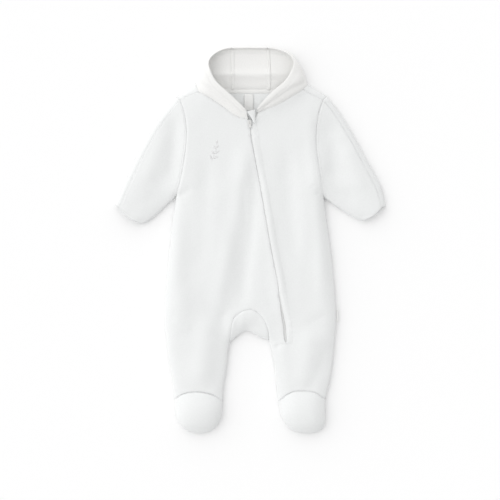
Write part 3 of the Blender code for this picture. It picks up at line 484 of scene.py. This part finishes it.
CUFF_LEFT = ((238.5, 65), (232, 55.5), (224, 49.5), (212, 45), (197.5, 42.6))
ZIP = ((-3.8, 217.5), (-1.4, 205.7), (4.2, 168.4), (13.2, 120), (22.1, 72.5), (34.9, -5),
       (47, -65.2), (52.9, -107.5), (57, -133), (60.6, -153), (63.5, -183.2))
ZIP_FOOT = ((50.5, -184.4), (63, -185.4), (76.2, -184.6))
RIM_RIGHT = ((-73.5, 308), (-69.5, 298), (-64, 287), (-56.5, 278), (-47.5, 270.3),
             (-36.5, 260.5), (-26, 250.9), (-16, 241.5), (-9, 233.5))
RIM_LEFT = ((75.5, 307.5), (71, 298.5), (66, 290), (59, 280.5), (48.5, 273.5), (37.5, 264),
            (28, 254.5), (19.5, 245), (13, 237))
FOOT_RIGHT = ((-136.4, -285.8), (-122.6, -275.4), (-109.1, -271.9), (-91.3, -271.2),
              (-73.3, -274.4), (-59.9, -280.9), (-49.9, -289.4))
FOOT_LEFT = ((134.6, -285.8), (118.4, -273.8), (100.6, -270.4), (79.7, -270.4),
             (64.8, -276.4), (50.2, -289.4))

# a line, and how far to the left of its way the stitches run (to the right below nought)
STITCHED = (
    (ARMHOLE_RIGHT, -1.8), (ARMHOLE_RIGHT, -4.8), (ARMHOLE_LEFT, 1.8), (ARMHOLE_LEFT, 4.8),
    (SHOULDER_RIGHT, -1.8), (SHOULDER_LEFT, 1.8), (NECK_RIGHT, -2.0), (NECK_LEFT, 2.0),
    (SLEEVE_RIGHT, 11.2), (SLEEVE_LEFT, -11.2), (CUFF_RIGHT, 0.0), (CUFF_LEFT, 0.0),
    (RIM_RIGHT, -9.5), (RIM_LEFT, 9.5), (ZIP[1:], 12.5),
    (ZIP_FOOT, 0.0), (FOOT_RIGHT, -1.8), (FOOT_LEFT, 1.8),
)
# the same inside the hood, on the lining that its opening shows
STITCHED_INSIDE = (
    (((-66, 330.5), (-48, 335.8), (-34, 337), (0, 337.2), (32, 337), (47, 335.6), (67, 330.5)),
     0.0),
    (((-33, 272.4), (0, 273.2), (34, 272.4)), 0.0),
    (((-36.4, 334), (-35.6, 300)), 0.0), (((34.6, 334), (36.4, 300)), 0.0),
)


def beside(points, by):
    """A smooth line at a distance beside the given one."""
    line = smooth(points)
    return line + by * leftwards(line)


def stitched_lines(table):
    """The lines of a table's stitches."""
    return [beside(points, by) for points, by in table]


# ---- relief of the cloth -------------------------------------------------------------
# folds of the upper side, hollows below nought: points, half width, height, millimetres
CREASES = (
    # the long fold down the front, the hollow beside it, and the zip's lower end
    (((-4, 205), (-9, 158), (-15, 105), (-24, 54), (-35, 0), (-46, -54), (-54, -110),
      (-66, -165)), 18, 5.0),
    (((12, 150), (8, 112), (4, 54), (-2, 0), (-10, -54), (-17, -107), (-27, -150)),
     14, -3.4),
    (((26, 70), (34, 0), (46, -60), (53, -107), (58, -150)), 14, 1.8),
    # right leg, then the right side of the front
    (((-64, -130), (-78, -175), (-85, -221), (-90, -270)), 22, 4.0),
    (((-75, 170), (-81, 60), (-86, -30), (-92, -90)), 16, -2.0),
    (((-128, 84), (-131, -10), (-128, -100), (-116, -180)), 20, 3.2),
    # left side of the front, then the left leg
    (((108, 250), (111, 200), (113, 150), (117, 100), (122, 40), (127, -60), (128, -140)),
     12, 2.5),
    (((60, 190), (68, 110), (76, 20), (84, -60)), 16, -1.6),
    (((108, -150), (105, -205), (101, -272)), 22, 4.0),
    # the lip that covers the zip
    (((9, 200), (12, 168), (21, 120), (30, 72), (43, -5), (55, -65), (61, -107), (69, -165)),
     5.5, 1.2),
    # each sleeve: a hollow along the armhole and a fold towards the cuff
    (((-134, 228), (-137, 180), (-141, 130), (-143, 98)), 12, -2.4),
    (((-152, 205), (-172, 150), (-186, 95)), 15, 1.6),
    (((136, 222), (146, 175), (151, 130), (154, 92)), 16, -3.2),
    (((168, 178), (186, 128), (200, 80)), 14, 1.3),
    # the hood's left flap
    (((22, 232), (40, 245), (60, 256), (80, 270), (93, 285), (98, 298)), 14, 3.2),
    # small ones: under the zip, at the crotch, across the thighs, under the arms
    (((47, -186), (51, -195)), 7, -1.0),
    (((-13, -160), (-15, -140), (-10, -124)), 6, 0.8),
    (((34, -120), (18, -108), (0, -112), (-20, -118)), 8, 0.5),
    (((-140, -140), (-120, -152), (-104, -158)), 9, 0.7),
    (((100, -150), (120, -141), (140, -138)), 8, -0.7),
    (((-105, 96), (-119, 84), (-128, 80)), 7, -0.9),
    (((108, 100), (119, 88), (126, 82)), 7, -0.9),
)
# the hidden back has folds of its own
BACK_CREASES = (
    (((20, 180), (8, 60), (-12, -60)), 16, -0.9),
    (((-80, 150), (-88, 20), (-96, -120)), 18, -0.8),
    (((76, 160), (92, 30), (100, -110)), 15, -1.0),
    (((-60, -140), (-72, -200), (-84, -255)), 12, -0.9),
    (((60, -150), (74, -210), (88, -258)), 12, -0.7),
    (((-30, -112), (0, -106), (28, -116)), 9, -0.8),
    (((-30, 236), (2, 228), (34, 238)), 10, -0.6),
)
# doubled strips over seams inside the hood: name, points, width, lift
STRIPS = (
    ("hood_strip_right", ((-32.2, 343.5), (-32.0, 310), (-32.2, 271)), 5.0, 0.35),
    ("hood_strip_left", ((31.4, 343.5), (33.0, 310), (33.8, 271)), 5.4, 0.35),
    ("nape_strip", ((-60, 269.2), (-33, 267.4), (0, 267.2), (35, 267.4), (60, 269.4)), 6.4,
     0.45),
)
# bands of doubled cloth inside the hood: points, half width, height
BANDS = (
    (((-72, 331), (-48, 340), (-33, 341.5), (0, 341.8), (32, 341.5), (48, 340), (72, 331)),
     5.0, 0.7),
    (((-34, 284), (0, 284.6), (40, 284)), 12.5, 0.9),
)
# all in millimetres
FOLD_STEP = 6.0               # from point to point of a fold's line
ZIP_STEP = 4.0                # the same of the zip's line
BAND_STEP = 3.0               # the same of a band's line
RIM_STEP = 0.3                # the same of a cloth's open edge
SEAM_REACH = 1.3              # how far from a seam the cloth's edge sinks
SEAM_SHUT = 0.14              # and how far it is drawn towards its neighbour
LIP_REACH, LIP_SHUT = 5.0, 0.75                       # the lips over the zip are drawn further
PLUMP_AT, PLUMP_WIDTH, PLUMP = 4.0, 2.4, 0.22         # the bulge beside a seam
STITCH_REACH = 1.0            # half the width of a stitched groove
STITCH_FRAME = 5.0            # beyond this from a stitched line nothing is pressed
WAVES = ((30.0, 0.40), (11.0, 0.13), (4.0, 0.05))     # sizes and heights of the unevenness
EDGE_REACH = 7.0              # the unevenness grows to its full height this far inside
LOWEST = 0.05                 # nothing sinks below this
# shares and a power
FADE = 0.25                   # of a fold's line, at either end, over which it fades
UNDER_WAVES = 0.35            # of the unevenness on the cloth that lies on the ground
EDGE_WAVES = 0.15             # of the unevenness at the cloth's edge
BAND_EDGE = 6                 # the power that makes a band flat with steep edges
# a normal's height where something starts and where it is in full
UPPER = (0.1, 0.5)
UNDER = (0.5, 0.9)
WAVY = (-0.6, 0.2)
LINING = (0.3, 0.7)


def near_edge(spots, normals, chains):
    """From each point to the nearest open edge: how far, and which way is out there."""
    rims, ways = [], []
    for chain in chains:
        line = spots[chain]
        out = np.cross(np.gradient(line, axis=0), normals[chain])
        out /= np.linalg.norm(out, axis=1)[:, None]
        both = even(np.hstack([line, out]), RIM_STEP)
        rims.append(both[:, :3])
        ways.append(both[:, 3:])
    tree = tree_of(np.vstack(rims))
    found = [tree.find(spot) for spot in spots]
    far = np.array([hit[2] for hit in found])
    return far, np.vstack(ways)[[hit[1] for hit in found]]


def unevenness(spots):
    """Low waves that no two places of a fleece have alike."""
    total = np.zeros(len(spots))
    for size, height in WAVES:
        total += height * np.array([noise.noise(Vector(spot) / size) for spot in spots])
    return total


def folds(table, xy):
    """Height of soft folds that fade out towards their ends."""
    total = np.zeros(len(xy))
    for path, width, height in table:
        far, share = nearest(smooth(path, FOLD_STEP), xy)
        fade = ease(share, 0.0, FADE) * ease(1.0 - share, 0.0, FADE)
        total += height * fade * np.exp(-(far / width) ** 2)
    return total


def grooves(table, xy):
    """How deep the stitched lines press the cloth at each point."""
    depth = bpy.context.scene.overall_cloth.stitch_depth / MM
    total = np.zeros(len(xy))
    for line in stitched_lines(table):
        low, high = line.min(axis=0) - STITCH_FRAME, line.max(axis=0) + STITCH_FRAME
        close = np.where(((xy > low) & (xy < high)).all(axis=1))[0]
        if len(close):
            far, _ = nearest(line, xy[close])
            pressed = depth * np.exp(-(far / STITCH_REACH) ** 2)
            total[close] = np.maximum(total[close], pressed)
    return total


def relief(spots, normals, chains):
    """Where points go by seams, folds, stitched lines and unevenness.

    They move along their normals, and beside an open edge also out towards it.
    """
    far, out = near_edge(spots, normals, chains)
    xy, up = spots[:, :2], normals[:, 2]
    by_seam = np.exp(-(far / SEAM_REACH) ** 2)
    move = PLUMP * np.exp(-((far - PLUMP_AT) / PLUMP_WIDTH) ** 2)
    move -= bpy.context.scene.overall_cloth.seam_depth / MM * by_seam
    move += ease(up, *UPPER) * (folds(CREASES, xy) - grooves(STITCHED, xy))
    move += ease(-up, *UNDER) * folds(BACK_CREASES, xy)
    wavy = UNDER_WAVES + (1.0 - UNDER_WAVES) * ease(up, *WAVY)
    wavy *= EDGE_WAVES + (1.0 - EDGE_WAVES) * ease(far, 0.0, EDGE_REACH)
    move += wavy * unevenness(spots)
    zip_far, _ = nearest(smooth(ZIP, ZIP_STEP), xy)
    shut = SEAM_SHUT + LIP_SHUT * ease(LIP_REACH - zip_far, 0.0, 1.0)
    result = spots + normals * move[:, None] + out * (shut * by_seam)[:, None]
    result[:, 2] = np.maximum(result[:, 2], LOWEST)
    return result


def lining_relief(mesh, outer_count):
    """Shapes the lining where the hood's opening shows it: doubled bands, stitches."""
    spots, normals = spots_and_normals(mesh)
    lining, ways = spots[outer_count:], normals[outer_count:]
    xy = lining[:, :2]
    rise = -grooves(STITCHED_INSIDE, xy)
    for path, width, height in BANDS:
        far, _ = nearest(smooth(path, BAND_STEP), xy)
        rise += height * np.exp(-(far / width) ** BAND_EDGE)
    rise *= ease(ways[:, 2], *LINING)
    spots[outer_count:] = lining + ways * rise[:, None]
    put_spots(mesh, spots)


# ---- materials -----------------------------------------------------------------------
TINT = 0.015                  # how far the fleece's tufts go from its colour
SATIN_RIBS = 2600.0           # scale of the weave of the labels
TAPE_RIBS = 1400.0            # and of the zip's tape


def plain_material(name, colour, roughness):
    """A Principled material, its shader and its node tree."""
    finish = bpy.data.materials.new(name)
    finish.use_nodes = True
    shader = finish.node_tree.nodes["Principled BSDF"]
    shader.inputs["Base Color"].default_value = (*colour, 1.0)
    shader.inputs["Roughness"].default_value = roughness
    return finish, shader, finish.node_tree


def noise_at(tree, scale, detail):
    """A cloudy pattern that keeps its place on the cloth."""
    place = tree.nodes.new("ShaderNodeTexCoord")
    cloud = tree.nodes.new("ShaderNodeTexNoise")
    cloud.inputs["Scale"].default_value = scale
    cloud.inputs["Detail"].default_value = detail
    tree.links.new(place.outputs["Object"], cloud.inputs["Vector"])
    return cloud.outputs["Fac"]


def standing_up(tree, shader, pattern, strength, distance):
    """Lets a pattern stand up from the surface."""
    rise = tree.nodes.new("ShaderNodeBump")
    rise.inputs["Strength"].default_value = strength
    rise.inputs["Distance"].default_value = distance
    tree.links.new(pattern, rise.inputs["Height"])
    tree.links.new(rise.outputs["Normal"], shader.inputs["Normal"])


def fleece_material(painted_light=False):
    """Soft pile: matt, a little sheen, fine tufts and barely uneven in colour.

    The hood's is a lighter, warmer copy of the same fleece: painted light.
    """
    # the hood gets a lighter, warmer copy of the fleece material: painted light
    name = "hood_pile_painted_light" if painted_light else "fleece_pile"
    if name in bpy.data.materials:
        return bpy.data.materials[name]
    cloth = bpy.context.scene.overall_cloth
    colour = cloth.hood_painted_light_colour if painted_light else cloth.colour
    finish, shader, tree = plain_material(name, colour, roughness=1.0)
    shader.inputs["Specular IOR Level"].default_value = 0.15
    shader.inputs["Sheen Weight"].default_value = 0.25
    shader.inputs["Sheen Roughness"].default_value = 0.6
    tint = tree.nodes.new("ShaderNodeValToRGB")
    tint.color_ramp.elements[0].position = 0.3
    tint.color_ramp.elements[0].color = (*((1.0 - TINT) * c for c in colour), 1.0)
    tint.color_ramp.elements[1].position = 0.7
    tint.color_ramp.elements[1].color = (*((1.0 + TINT) * c for c in colour), 1.0)
    tree.links.new(noise_at(tree, scale=420.0, detail=3.0), tint.inputs["Fac"])
    tree.links.new(tint.outputs["Color"], shader.inputs["Base Color"])
    tufts = noise_at(tree, scale=700.0, detail=4.0)
    standing_up(tree, shader, tufts, strength=0.55, distance=0.5 * MM)
    return finish


def thread_material():
    """Sewing thread, a little smoother than the fleece."""
    if "thread" in bpy.data.materials:
        return bpy.data.materials["thread"]
    colour = bpy.context.scene.overall_cloth.thread_colour
    finish, shader, _ = plain_material("thread", colour, roughness=0.6)
    shader.inputs["Sheen Weight"].default_value = 0.2
    return finish


def woven_material(name, colour, scale):
    """A tight weave: fine ribs across the piece."""
    finish, shader, tree = plain_material(name, colour, roughness=0.7)
    place = tree.nodes.new("ShaderNodeTexCoord")
    ribs = tree.nodes.new("ShaderNodeTexWave")
    ribs.bands_direction = "Y"
    ribs.inputs["Scale"].default_value = scale
    tree.links.new(place.outputs["Object"], ribs.inputs["Vector"])
    standing_up(tree, shader, ribs.outputs["Fac"], strength=0.4, distance=0.1 * MM)
    return finish


# ---- the cloth -----------------------------------------------------------------------
ABOVE_ALL = 60.0              # the height in millimetres from which things are let fall
UNDER_FLAPS = 12.0            # the same inside the hood, below its flaps
STRIP_THICKNESS = 0.6 * MM
STRIP_STEP = 1.5              # millimetres from point to point of a strip's line
STRIP_ROWS = 6                # faces across a strip
STRIP_EDGE = 6                # the power that makes a strip flat with steep edges


def solidified(item, thickness):
    """Gives a sheet its thickness, inwards, and keeps the result."""
    wall = item.modifiers.new("wall", "SOLIDIFY")
    wall.thickness = thickness
    wall.offset = -1.0
    wall.use_rim = True
    keep_modified(item)
    spots, _ = spots_and_normals(item.data)
    spots[:, 2] = np.maximum(spots[:, 2], LOWEST)
    put_spots(item.data, spots)


def ground():
    """All the cloth that is modelled so far, to drop things on."""
    form = bmesh.new()
    for item in bpy.data.objects:
        if item.name.endswith("_cloth"):
            form.from_mesh(item.data)
    tree = BVHTree.FromBMesh(form)
    form.free()
    return tree


def dropped(tree, x, y, top=ABOVE_ALL):
    """Where something let fall at x, y from a height comes to lie, and the way up there."""
    spot, normal, _, _ = tree.ray_cast(Vector((x, y, top)) * MM, Vector((0.0, 0.0, -1.0)))
    return (None, None) if spot is None else (spot, normal if normal.z > 0.0 else -normal)


def as_cloth(item, node):
    """Puts a modelled piece in a soft solid's place."""
    width, length, area = CUTS[node]
    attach(item, GARMENT)
    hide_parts(node)


def cloth_strip(name, points, width, lift):
    """A narrow doubled strip of the cloth, laid on what is under its line."""
    line = even(smooth(points), STRIP_STEP)
    left = leftwards(line)
    last = len(line) - 1
    form = bmesh.new()
    bmesh.ops.create_grid(form, x_segments=last, y_segments=STRIP_ROWS, size=0.5)
    tree = ground()
    for point in form.verts:
        k = int(round((point.co.x + 0.5) * last))
        x, y = line[k] + left[k] * point.co.y * width
        spot, up = dropped(tree, x, y, UNDER_FLAPS)
        rise = lift * (1.0 - (2.0 * point.co.y) ** STRIP_EDGE)
        point.co = spot + up * rise * MM
    bmesh.ops.recalc_face_normals(form, faces=form.faces)
    item = into_object(name, form)
    smoothed(item, STRIP_LEVELS)
    solidified(item, STRIP_THICKNESS)
    # the strips inside the hood take its lighter, warmer copy of the fleece: painted light
    item.data.materials.append(fleece_material(painted_light=True))
    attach(item, GARMENT)
    return item


@functools.cache
def fleece_sheets():
    """The sheets of all fleece pieces, cut once and together for their shared corners."""
    return cut_sheets(BODY + SLEEVES + FEET + HOOD)


def cloth_piece(node):
    """Replaces one soft solid with its modelled cloth."""
    item = into_object(node + "_cloth", fleece_sheets()[node])
    smoothed(item, CLOTH_LEVELS)
    spots, normals = spots_and_normals(item.data)
    put_spots(item.data, relief(spots, normals, border(item.data)))
    solidified(item, bpy.context.scene.overall_cloth.thickness)
    if node in HOOD:
        lining_relief(item.data, len(spots))
    # the hood's pieces take the lighter, warmer copy of the fleece: painted light
    item.data.materials.append(fleece_material(painted_light=node in HOOD))
    strips = [cloth_strip(*strip) for strip in STRIPS] if node == "hood_centre" else ()
    as_cloth(item, node)


class OVERALL_OT_body(bpy.types.Operator):
    """Models the cloth of the front, the back and the gusset."""
    bl_idname = "overall.body"
    bl_label = "Body"

    def execute(self, context):
        for node in BODY:
            cloth_piece(node)
        return {"FINISHED"}


class OVERALL_OT_sleeves(bpy.types.Operator):
    """Models the cloth of both sleeves."""
    bl_idname = "overall.sleeves"
    bl_label = "Sleeves"

    def execute(self, context):
        for node in SLEEVES:
            cloth_piece(node)
        return {"FINISHED"}


class OVERALL_OT_feet(bpy.types.Operator):
    """Models the cloth of both feet."""
    bl_idname = "overall.feet"
    bl_label = "Feet"

    def execute(self, context):
        for node in FEET:
            cloth_piece(node)
        return {"FINISHED"}


class OVERALL_OT_hood(bpy.types.Operator):
    """Models the cloth of the hood."""
    bl_idname = "overall.hood"
    bl_label = "Hood"

    def execute(self, context):
        for node in HOOD:
            cloth_piece(node)
        return {"FINISHED"}


# ---- stitches ------------------------------------------------------------------------
STITCH_SHARE = 0.88           # of a stitch's length that its thread takes
STITCH_LIFT = 0.15            # how far its middle lies above the cloth, in its thickness


def set_stitch(form, tree, a, b, thread):
    """One stitch from a to b, half sunk in the cloth; beside the cloth there is none."""
    middle, way = (a + b) / 2.0, b - a
    spot, up = dropped(tree, *middle)
    if spot is None:
        return
    ahead = Vector((*way, 0.0))
    ahead -= up * ahead.dot(up)
    side = up.cross(ahead).normalized()
    half_length, half = STITCH_SHARE / 2.0 * MM, thread / 2.0
    size = Matrix((ahead * half_length, side * half, up * half)).transposed()
    place = Matrix.Translation(spot + up * thread * STITCH_LIFT) @ size.to_4x4()
    bmesh.ops.create_uvsphere(form, u_segments=6, v_segments=4, radius=1.0, matrix=place)


def sewn_piece(name, runs, tree, thread):
    """Sews runs of stitches, each a list of pairs of points, into one piece.

    Each run is made apart and then added, because a small mesh takes a stitch faster.
    """
    whole = bmesh.new()
    for run in runs:
        form = bmesh.new()
        for a, b in run:
            set_stitch(form, tree, a, b, thread)
        part = bpy.data.meshes.new("run")
        form.to_mesh(part)
        form.free()
        whole.from_mesh(part)
        bpy.data.meshes.remove(part)
    item = into_object(name, whole)
    item.data.shade_smooth()
    item.data.materials.append(thread_material())
    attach(item, GARMENT)


class OVERALL_OT_stitching(bpy.types.Operator):
    """Sews the visible lines of stitches beside the seams and hems."""
    bl_idname = "overall.stitching"
    bl_label = "Stitching"

    def execute(self, context):
        cloth = context.scene.overall_cloth
        runs = []
        for line in stitched_lines(STITCHED + STITCHED_INSIDE):
            spots = even(line, cloth.stitch_length / MM)
            runs.append(list(zip(spots, spots[1:])))
        sewn_piece("stitching", runs, ground(), cloth.thread)
        return {"FINISHED"}


# ---- embroidery: a plain sprig in the cloth's own colour, in millimetres -------------
SPRIG = ((-70.5, 141.0), (-66.0, 150.0), (-62.5, 160.0), (-60.8, 172.0))
# how far along the stem, angle of the leaf to it, length, width
LEAVES = ((0.10, 52, 9.5, 4.2), (0.20, -48, 10.5, 4.4), (0.38, 50, 10.0, 4.2),
          (0.50, -46, 9.5, 4.0), (0.68, 44, 8.5, 3.6), (0.80, -40, 7.5, 3.2),
          (1.00, 2, 8.0, 3.6))
STEM_STITCH = 1.6            # length of a stitch of the stem
SATIN = 0.62                 # from one satin stitch of a leaf to the next
LEAF_FOOT = 0.8              # from the stem to a leaf's first stitch
LEAF_BLUNT = 0.25            # half the width that a leaf has at its ends
LEAF_POWER = 0.8             # below one a leaf is widest nearer its foot
SLANT = 0.5                  # how far a satin stitch leans along the leaf
BOLD = 1.3                   # how much thicker its thread is than that of the seams


class OVERALL_OT_embroidery(bpy.types.Operator):
    """Embroiders a small sprig on the wearer's right chest."""
    bl_idname = "overall.embroidery"
    bl_label = "Embroidery"

    def execute(self, context):
        stem = smooth(SPRIG, STEM_STITCH)
        last = len(stem) - 1
        runs = [list(zip(stem, stem[1:]))]
        for share, turn, length, width in LEAVES:
            k = int(round(share * last))
            way = stem[min(k + 1, last)] - stem[max(k - 1, 0)]
            angle = math.atan2(way[1], way[0]) + math.radians(turn)
            along = np.array((math.cos(angle), math.sin(angle)))
            across = np.array((-along[1], along[0]))
            leaf = []
            for run in np.arange(LEAF_FOOT, length, SATIN):
                swell = math.sin(math.pi * (run / length) ** LEAF_POWER)
                half = width / 2.0 * swell + LEAF_BLUNT
                middle, reach = stem[k] + along * run, (across + along * SLANT) * half
                leaf.append((middle - reach, middle + reach))
            runs.append(leaf)
        sewn_piece("embroidery", runs, ground(), context.scene.overall_cloth.thread * BOLD)
        return {"FINISHED"}


# ---- zip, in millimetres unless MM is beside a number --------------------------------
TAPE_THICKNESS = 0.7 * MM
TAPE_LIFT = 0.9               # how far the tape comes up in the slit, besides the folds
TAPE_END = (168.0, 180.0)     # how far down the tape is stretched, from here to there
TAPE_STRETCH = 4.5            # and by how much, so that it ends under the stitches
TOOTH_HEIGHT = 1.8 * MM
TOOTH_SHARE = 0.36            # of the pitch that a tooth takes
TOOTH_ASIDE = 0.45            # how far a tooth is off the middle, to its own side
TOOTH_LIFT = 0.3 * MM         # its middle above the tape
TOOTH_BEVEL = 0.12 * MM
TEETH_ABOVE = 6               # teeth that show above the slider
SLIDER_FOOT = 199.0           # teeth show again below this
GUARD_RISE = (212.0, 231.0)   # the guard is drawn out more and more from here up to there
GUARD_SIDES = (-4.2, 8.6)     # in full at its first side and not at all at its second
GUARD_WIDER = 3.2             # and there by so much


def zip_tape(look):
    """The tape that shows in the slit, lifted with the folds beside it."""
    tape = into_object("zip_tape_woven", cut_sheets(["zip_tape"], upward=True)["zip_tape"])
    smoothed(tape, TAPE_LEVELS)
    spots, _ = spots_and_normals(tape.data)
    spots[:, 2] += folds(CREASES, spots[:, :2]) + TAPE_LIFT
    spots[:, 1] -= TAPE_STRETCH * ease(-spots[:, 1], *TAPE_END)
    put_spots(tape.data, spots)
    solidified(tape, TAPE_THICKNESS)
    tape.data.materials.append(woven_material("zip_tape", look.tape_colour, TAPE_RIBS))
    as_cloth(tape, "zip_tape")
    return tape


def zip_teeth(look, tape):
    """Closed teeth along the tape, from both sides in turn; the slider hides a few."""
    surface = BVHTree.FromPolygons([point.co for point in tape.data.vertices],
                                   [face.vertices for face in tape.data.polygons])
    line = even(smooth(ZIP[1:]), look.pitch / MM / 2.0)
    left = leftwards(line)
    size = Matrix.Diagonal((look.tooth_width, look.pitch * TOOTH_SHARE, TOOTH_HEIGHT, 1.0))
    form = bmesh.new()
    for k, spot in enumerate(line):
        side = 1.0 if k % 2 else -1.0
        foot, _ = dropped(surface, *(spot + left[k] * side * TOOTH_ASIDE))
        if foot is not None and (k < TEETH_ABOVE or spot[1] < SLIDER_FOOT):
            place = Matrix.Translation(foot + Vector((0.0, 0.0, TOOTH_LIFT)))
            turn = Matrix.Rotation(math.atan2(left[k][1], left[k][0]), 4, "Z")
            bmesh.ops.create_cube(form, size=1.0, matrix=place @ turn @ size)
    bmesh.ops.bevel(form, geom=form.edges, offset=TOOTH_BEVEL, segments=1, profile=0.5,
                    affect="EDGES", material=-1)
    teeth = into_object("zip_teeth", form)
    finish, _, _ = plain_material("zip_teeth", look.tooth_colour, roughness=0.45)
    teeth.data.materials.append(finish)
    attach(teeth, GARMENT)


def zip_metal(look):
    """The slider and its tab keep their solids' shapes and get their metal."""
    finish, shader, _ = plain_material("slider_metal", look.metal_colour, roughness=0.34)
    shader.inputs["Metallic"].default_value = 1.0
    for node in ("zip_slider", "pull_tab"):
        item = frame["nodes"][node]
        item.data.materials.clear()
        item.data.materials.append(finish)


def rounded_solid(node, levels):
    """A small closed solid rounded into folded cloth."""
    item = into_object(node + "_cloth", wall_copy(node))
    smoothed(item, levels)
    return item


def chin_guard():
    """The flap that is folded over the zip's top."""
    guard = rounded_solid("chin_guard", GUARD_LEVELS)
    spots, normals = spots_and_normals(guard.data)
    near, far = GUARD_SIDES
    aside = (far - spots[:, 0]) / (far - near)
    spots[:, 0] -= GUARD_WIDER * aside * ease(spots[:, 1], *GUARD_RISE)
    put_spots(guard.data, spots + normals * unevenness(spots)[:, None])
    guard.data.materials.append(fleece_material())
    as_cloth(guard, "chin_guard")


class OVERALL_OT_zip(bpy.types.Operator):
    """Makes the zip's tape and teeth, its metal and the guard folded over its top."""
    bl_idname = "overall.zip"
    bl_label = "Zip"

    def execute(self, context):
        look = context.scene.overall_zip
        zip_teeth(look, zip_tape(look))
        zip_metal(look)
        chin_guard()
        return {"FINISHED"}


# ---- labels --------------------------------------------------------------------------
NECK_LABEL_THICKNESS = 0.3 * MM


class OVERALL_OT_labels(bpy.types.Operator):
    """Weaves the blank label at the nape and the blank one in the side seam."""
    bl_idname = "overall.labels"
    bl_label = "Labels"

    def execute(self, context):
        colour = context.scene.overall_cloth.label_colour
        finish = woven_material("label", colour, SATIN_RIBS)
        sheet = cut_sheets(["neck_label"], upward=True)["neck_label"]
        nape = into_object("neck_label_woven", sheet)
        smoothed(nape, NECK_LABEL_LEVELS)
        solidified(nape, NECK_LABEL_THICKNESS)
        nape.data.materials.append(finish)
        as_cloth(nape, "neck_label")
        side = rounded_solid("side_label", SIDE_LABEL_LEVELS)
        side.data.materials.append(finish)
        as_cloth(side, "side_label")
        return {"FINISHED"}


# ---- stage ---------------------------------------------------------------------------
CENTRE = (-0.0009, -0.01755)  # what the middle of the picture looks down on, in metres
LIGHT_FROM = (-0.80, 0.55, 0.0)          # the side from which the sky is brighter
FLOOR_HALF = 6.0              # metres from the floor's middle to its edge
FLOOR_BELOW = 0.4             # millimetres that the floor lies below the garment
SENSOR = 36.0                 # the camera's sensor in millimetres


def white_floor(look):
    """A wide level floor just under the garment."""
    form = bmesh.new()
    bmesh.ops.create_grid(form, x_segments=1, y_segments=1, size=FLOOR_HALF)
    floor = into_object("floor", form)
    spots, _ = spots_and_normals(floor.data)
    put_spots(floor.data, spots - (0.0, 0.0, FLOOR_BELOW))
    finish, _, _ = plain_material("floor", look.floor_colour, roughness=1.0)
    floor.data.materials.append(finish)
    floor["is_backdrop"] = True


def white_sky(look):
    """Soft white light from all round, stronger from one side."""
    sky = bpy.data.worlds.new("sky")
    sky.use_nodes = True
    tree = sky.node_tree
    place = tree.nodes.new("ShaderNodeTexCoord")
    side = tree.nodes.new("ShaderNodeVectorMath")
    side.operation = "DOT_PRODUCT"
    side.inputs[1].default_value = LIGHT_FROM
    power = tree.nodes.new("ShaderNodeMath")
    power.operation = "MULTIPLY_ADD"
    power.inputs[1].default_value = look.sky * look.sky_slope
    power.inputs[2].default_value = look.sky
    background = tree.nodes["Background"]
    background.inputs["Color"].default_value = (1.0, 1.0, 1.0, 1.0)
    tree.links.new(place.outputs["Generated"], side.inputs[0])
    tree.links.new(side.outputs["Value"], power.inputs[0])
    tree.links.new(power.outputs["Value"], background.inputs["Strength"])
    return sky


def camera_above(look):
    """A camera that looks straight down."""
    lens = bpy.data.cameras.new("camera")
    lens.sensor_width = SENSOR
    lens.lens = SENSOR * look.camera_height / look.picture_width
    camera = bpy.data.objects.new("camera", lens)
    camera.location = (*CENTRE, look.camera_height)
    bpy.context.scene.collection.objects.link(camera)
    return camera


class OVERALL_OT_stage(bpy.types.Operator):
    """Lays the white floor, lights it and looks straight down."""
    bl_idname = "overall.stage"
    bl_label = "Stage"

    def execute(self, context):
        scene = context.scene
        look = scene.overall_stage
        white_floor(look)
        scene.world = white_sky(look)
        scene.camera = camera_above(look)
        scene.view_settings.view_transform = "Standard"
        return {"FINISHED"}


# ---- add-on --------------------------------------------------------------------------
SETTINGS = {"overall_cloth": OverallCloth, "overall_zip": OverallZip,
            "overall_stage": OverallStage}
STEPS = (OVERALL_OT_body, OVERALL_OT_sleeves, OVERALL_OT_feet, OVERALL_OT_hood,
         OVERALL_OT_zip, OVERALL_OT_labels, OVERALL_OT_stitching, OVERALL_OT_embroidery,
         OVERALL_OT_stage)


class OVERALL_PT_panel(bpy.types.Panel):
    """Lists the settings and the steps that make the overall."""
    bl_idname = "OVERALL_PT_panel"
    bl_label = "Baby overall"
    bl_space_type = "VIEW_3D"
    bl_region_type = "UI"
    bl_category = "Overall"

    def draw(self, context):
        for group in SETTINGS:
            box = self.layout.box()
            for name in getattr(context.scene, group).bl_rna.properties.keys():
                if name not in ("rna_type", "name"):
                    box.prop(getattr(context.scene, group), name)
        for step in STEPS:
            self.layout.operator(step.bl_idname)


def register():
    """Makes the settings, the steps and the panel known."""
    for group, kind in SETTINGS.items():
        bpy.utils.register_class(kind)
        setattr(bpy.types.Scene, group, bpy.props.PointerProperty(type=kind))
    for kind in (*STEPS, OVERALL_PT_panel):
        bpy.utils.register_class(kind)


def unregister():
    """Takes back what register has made known."""
    for kind in (OVERALL_PT_panel, *reversed(STEPS)):
        bpy.utils.unregister_class(kind)
    for group, kind in SETTINGS.items():
        delattr(bpy.types.Scene, group)
        bpy.utils.unregister_class(kind)


def plain(value):
    """Vectors and tuples as lists that JSON can hold."""
    if isinstance(value, dict):
        return {key: plain(part) for key, part in value.items()}
    if hasattr(value, "__len__") and not isinstance(value, str):
        return [plain(part) for part in value]
    return value


def main():
    """Makes the overall step by step and works out its bounds beside those of the solids."""
    register()
    for step in STEPS:
        group, name = step.bl_idname.split(".")
        getattr(getattr(bpy.ops, group), name)()
    {"cad": plain(CAD_BOX), "visual": plain(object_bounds())}


if __name__ == "__main__":
    main()
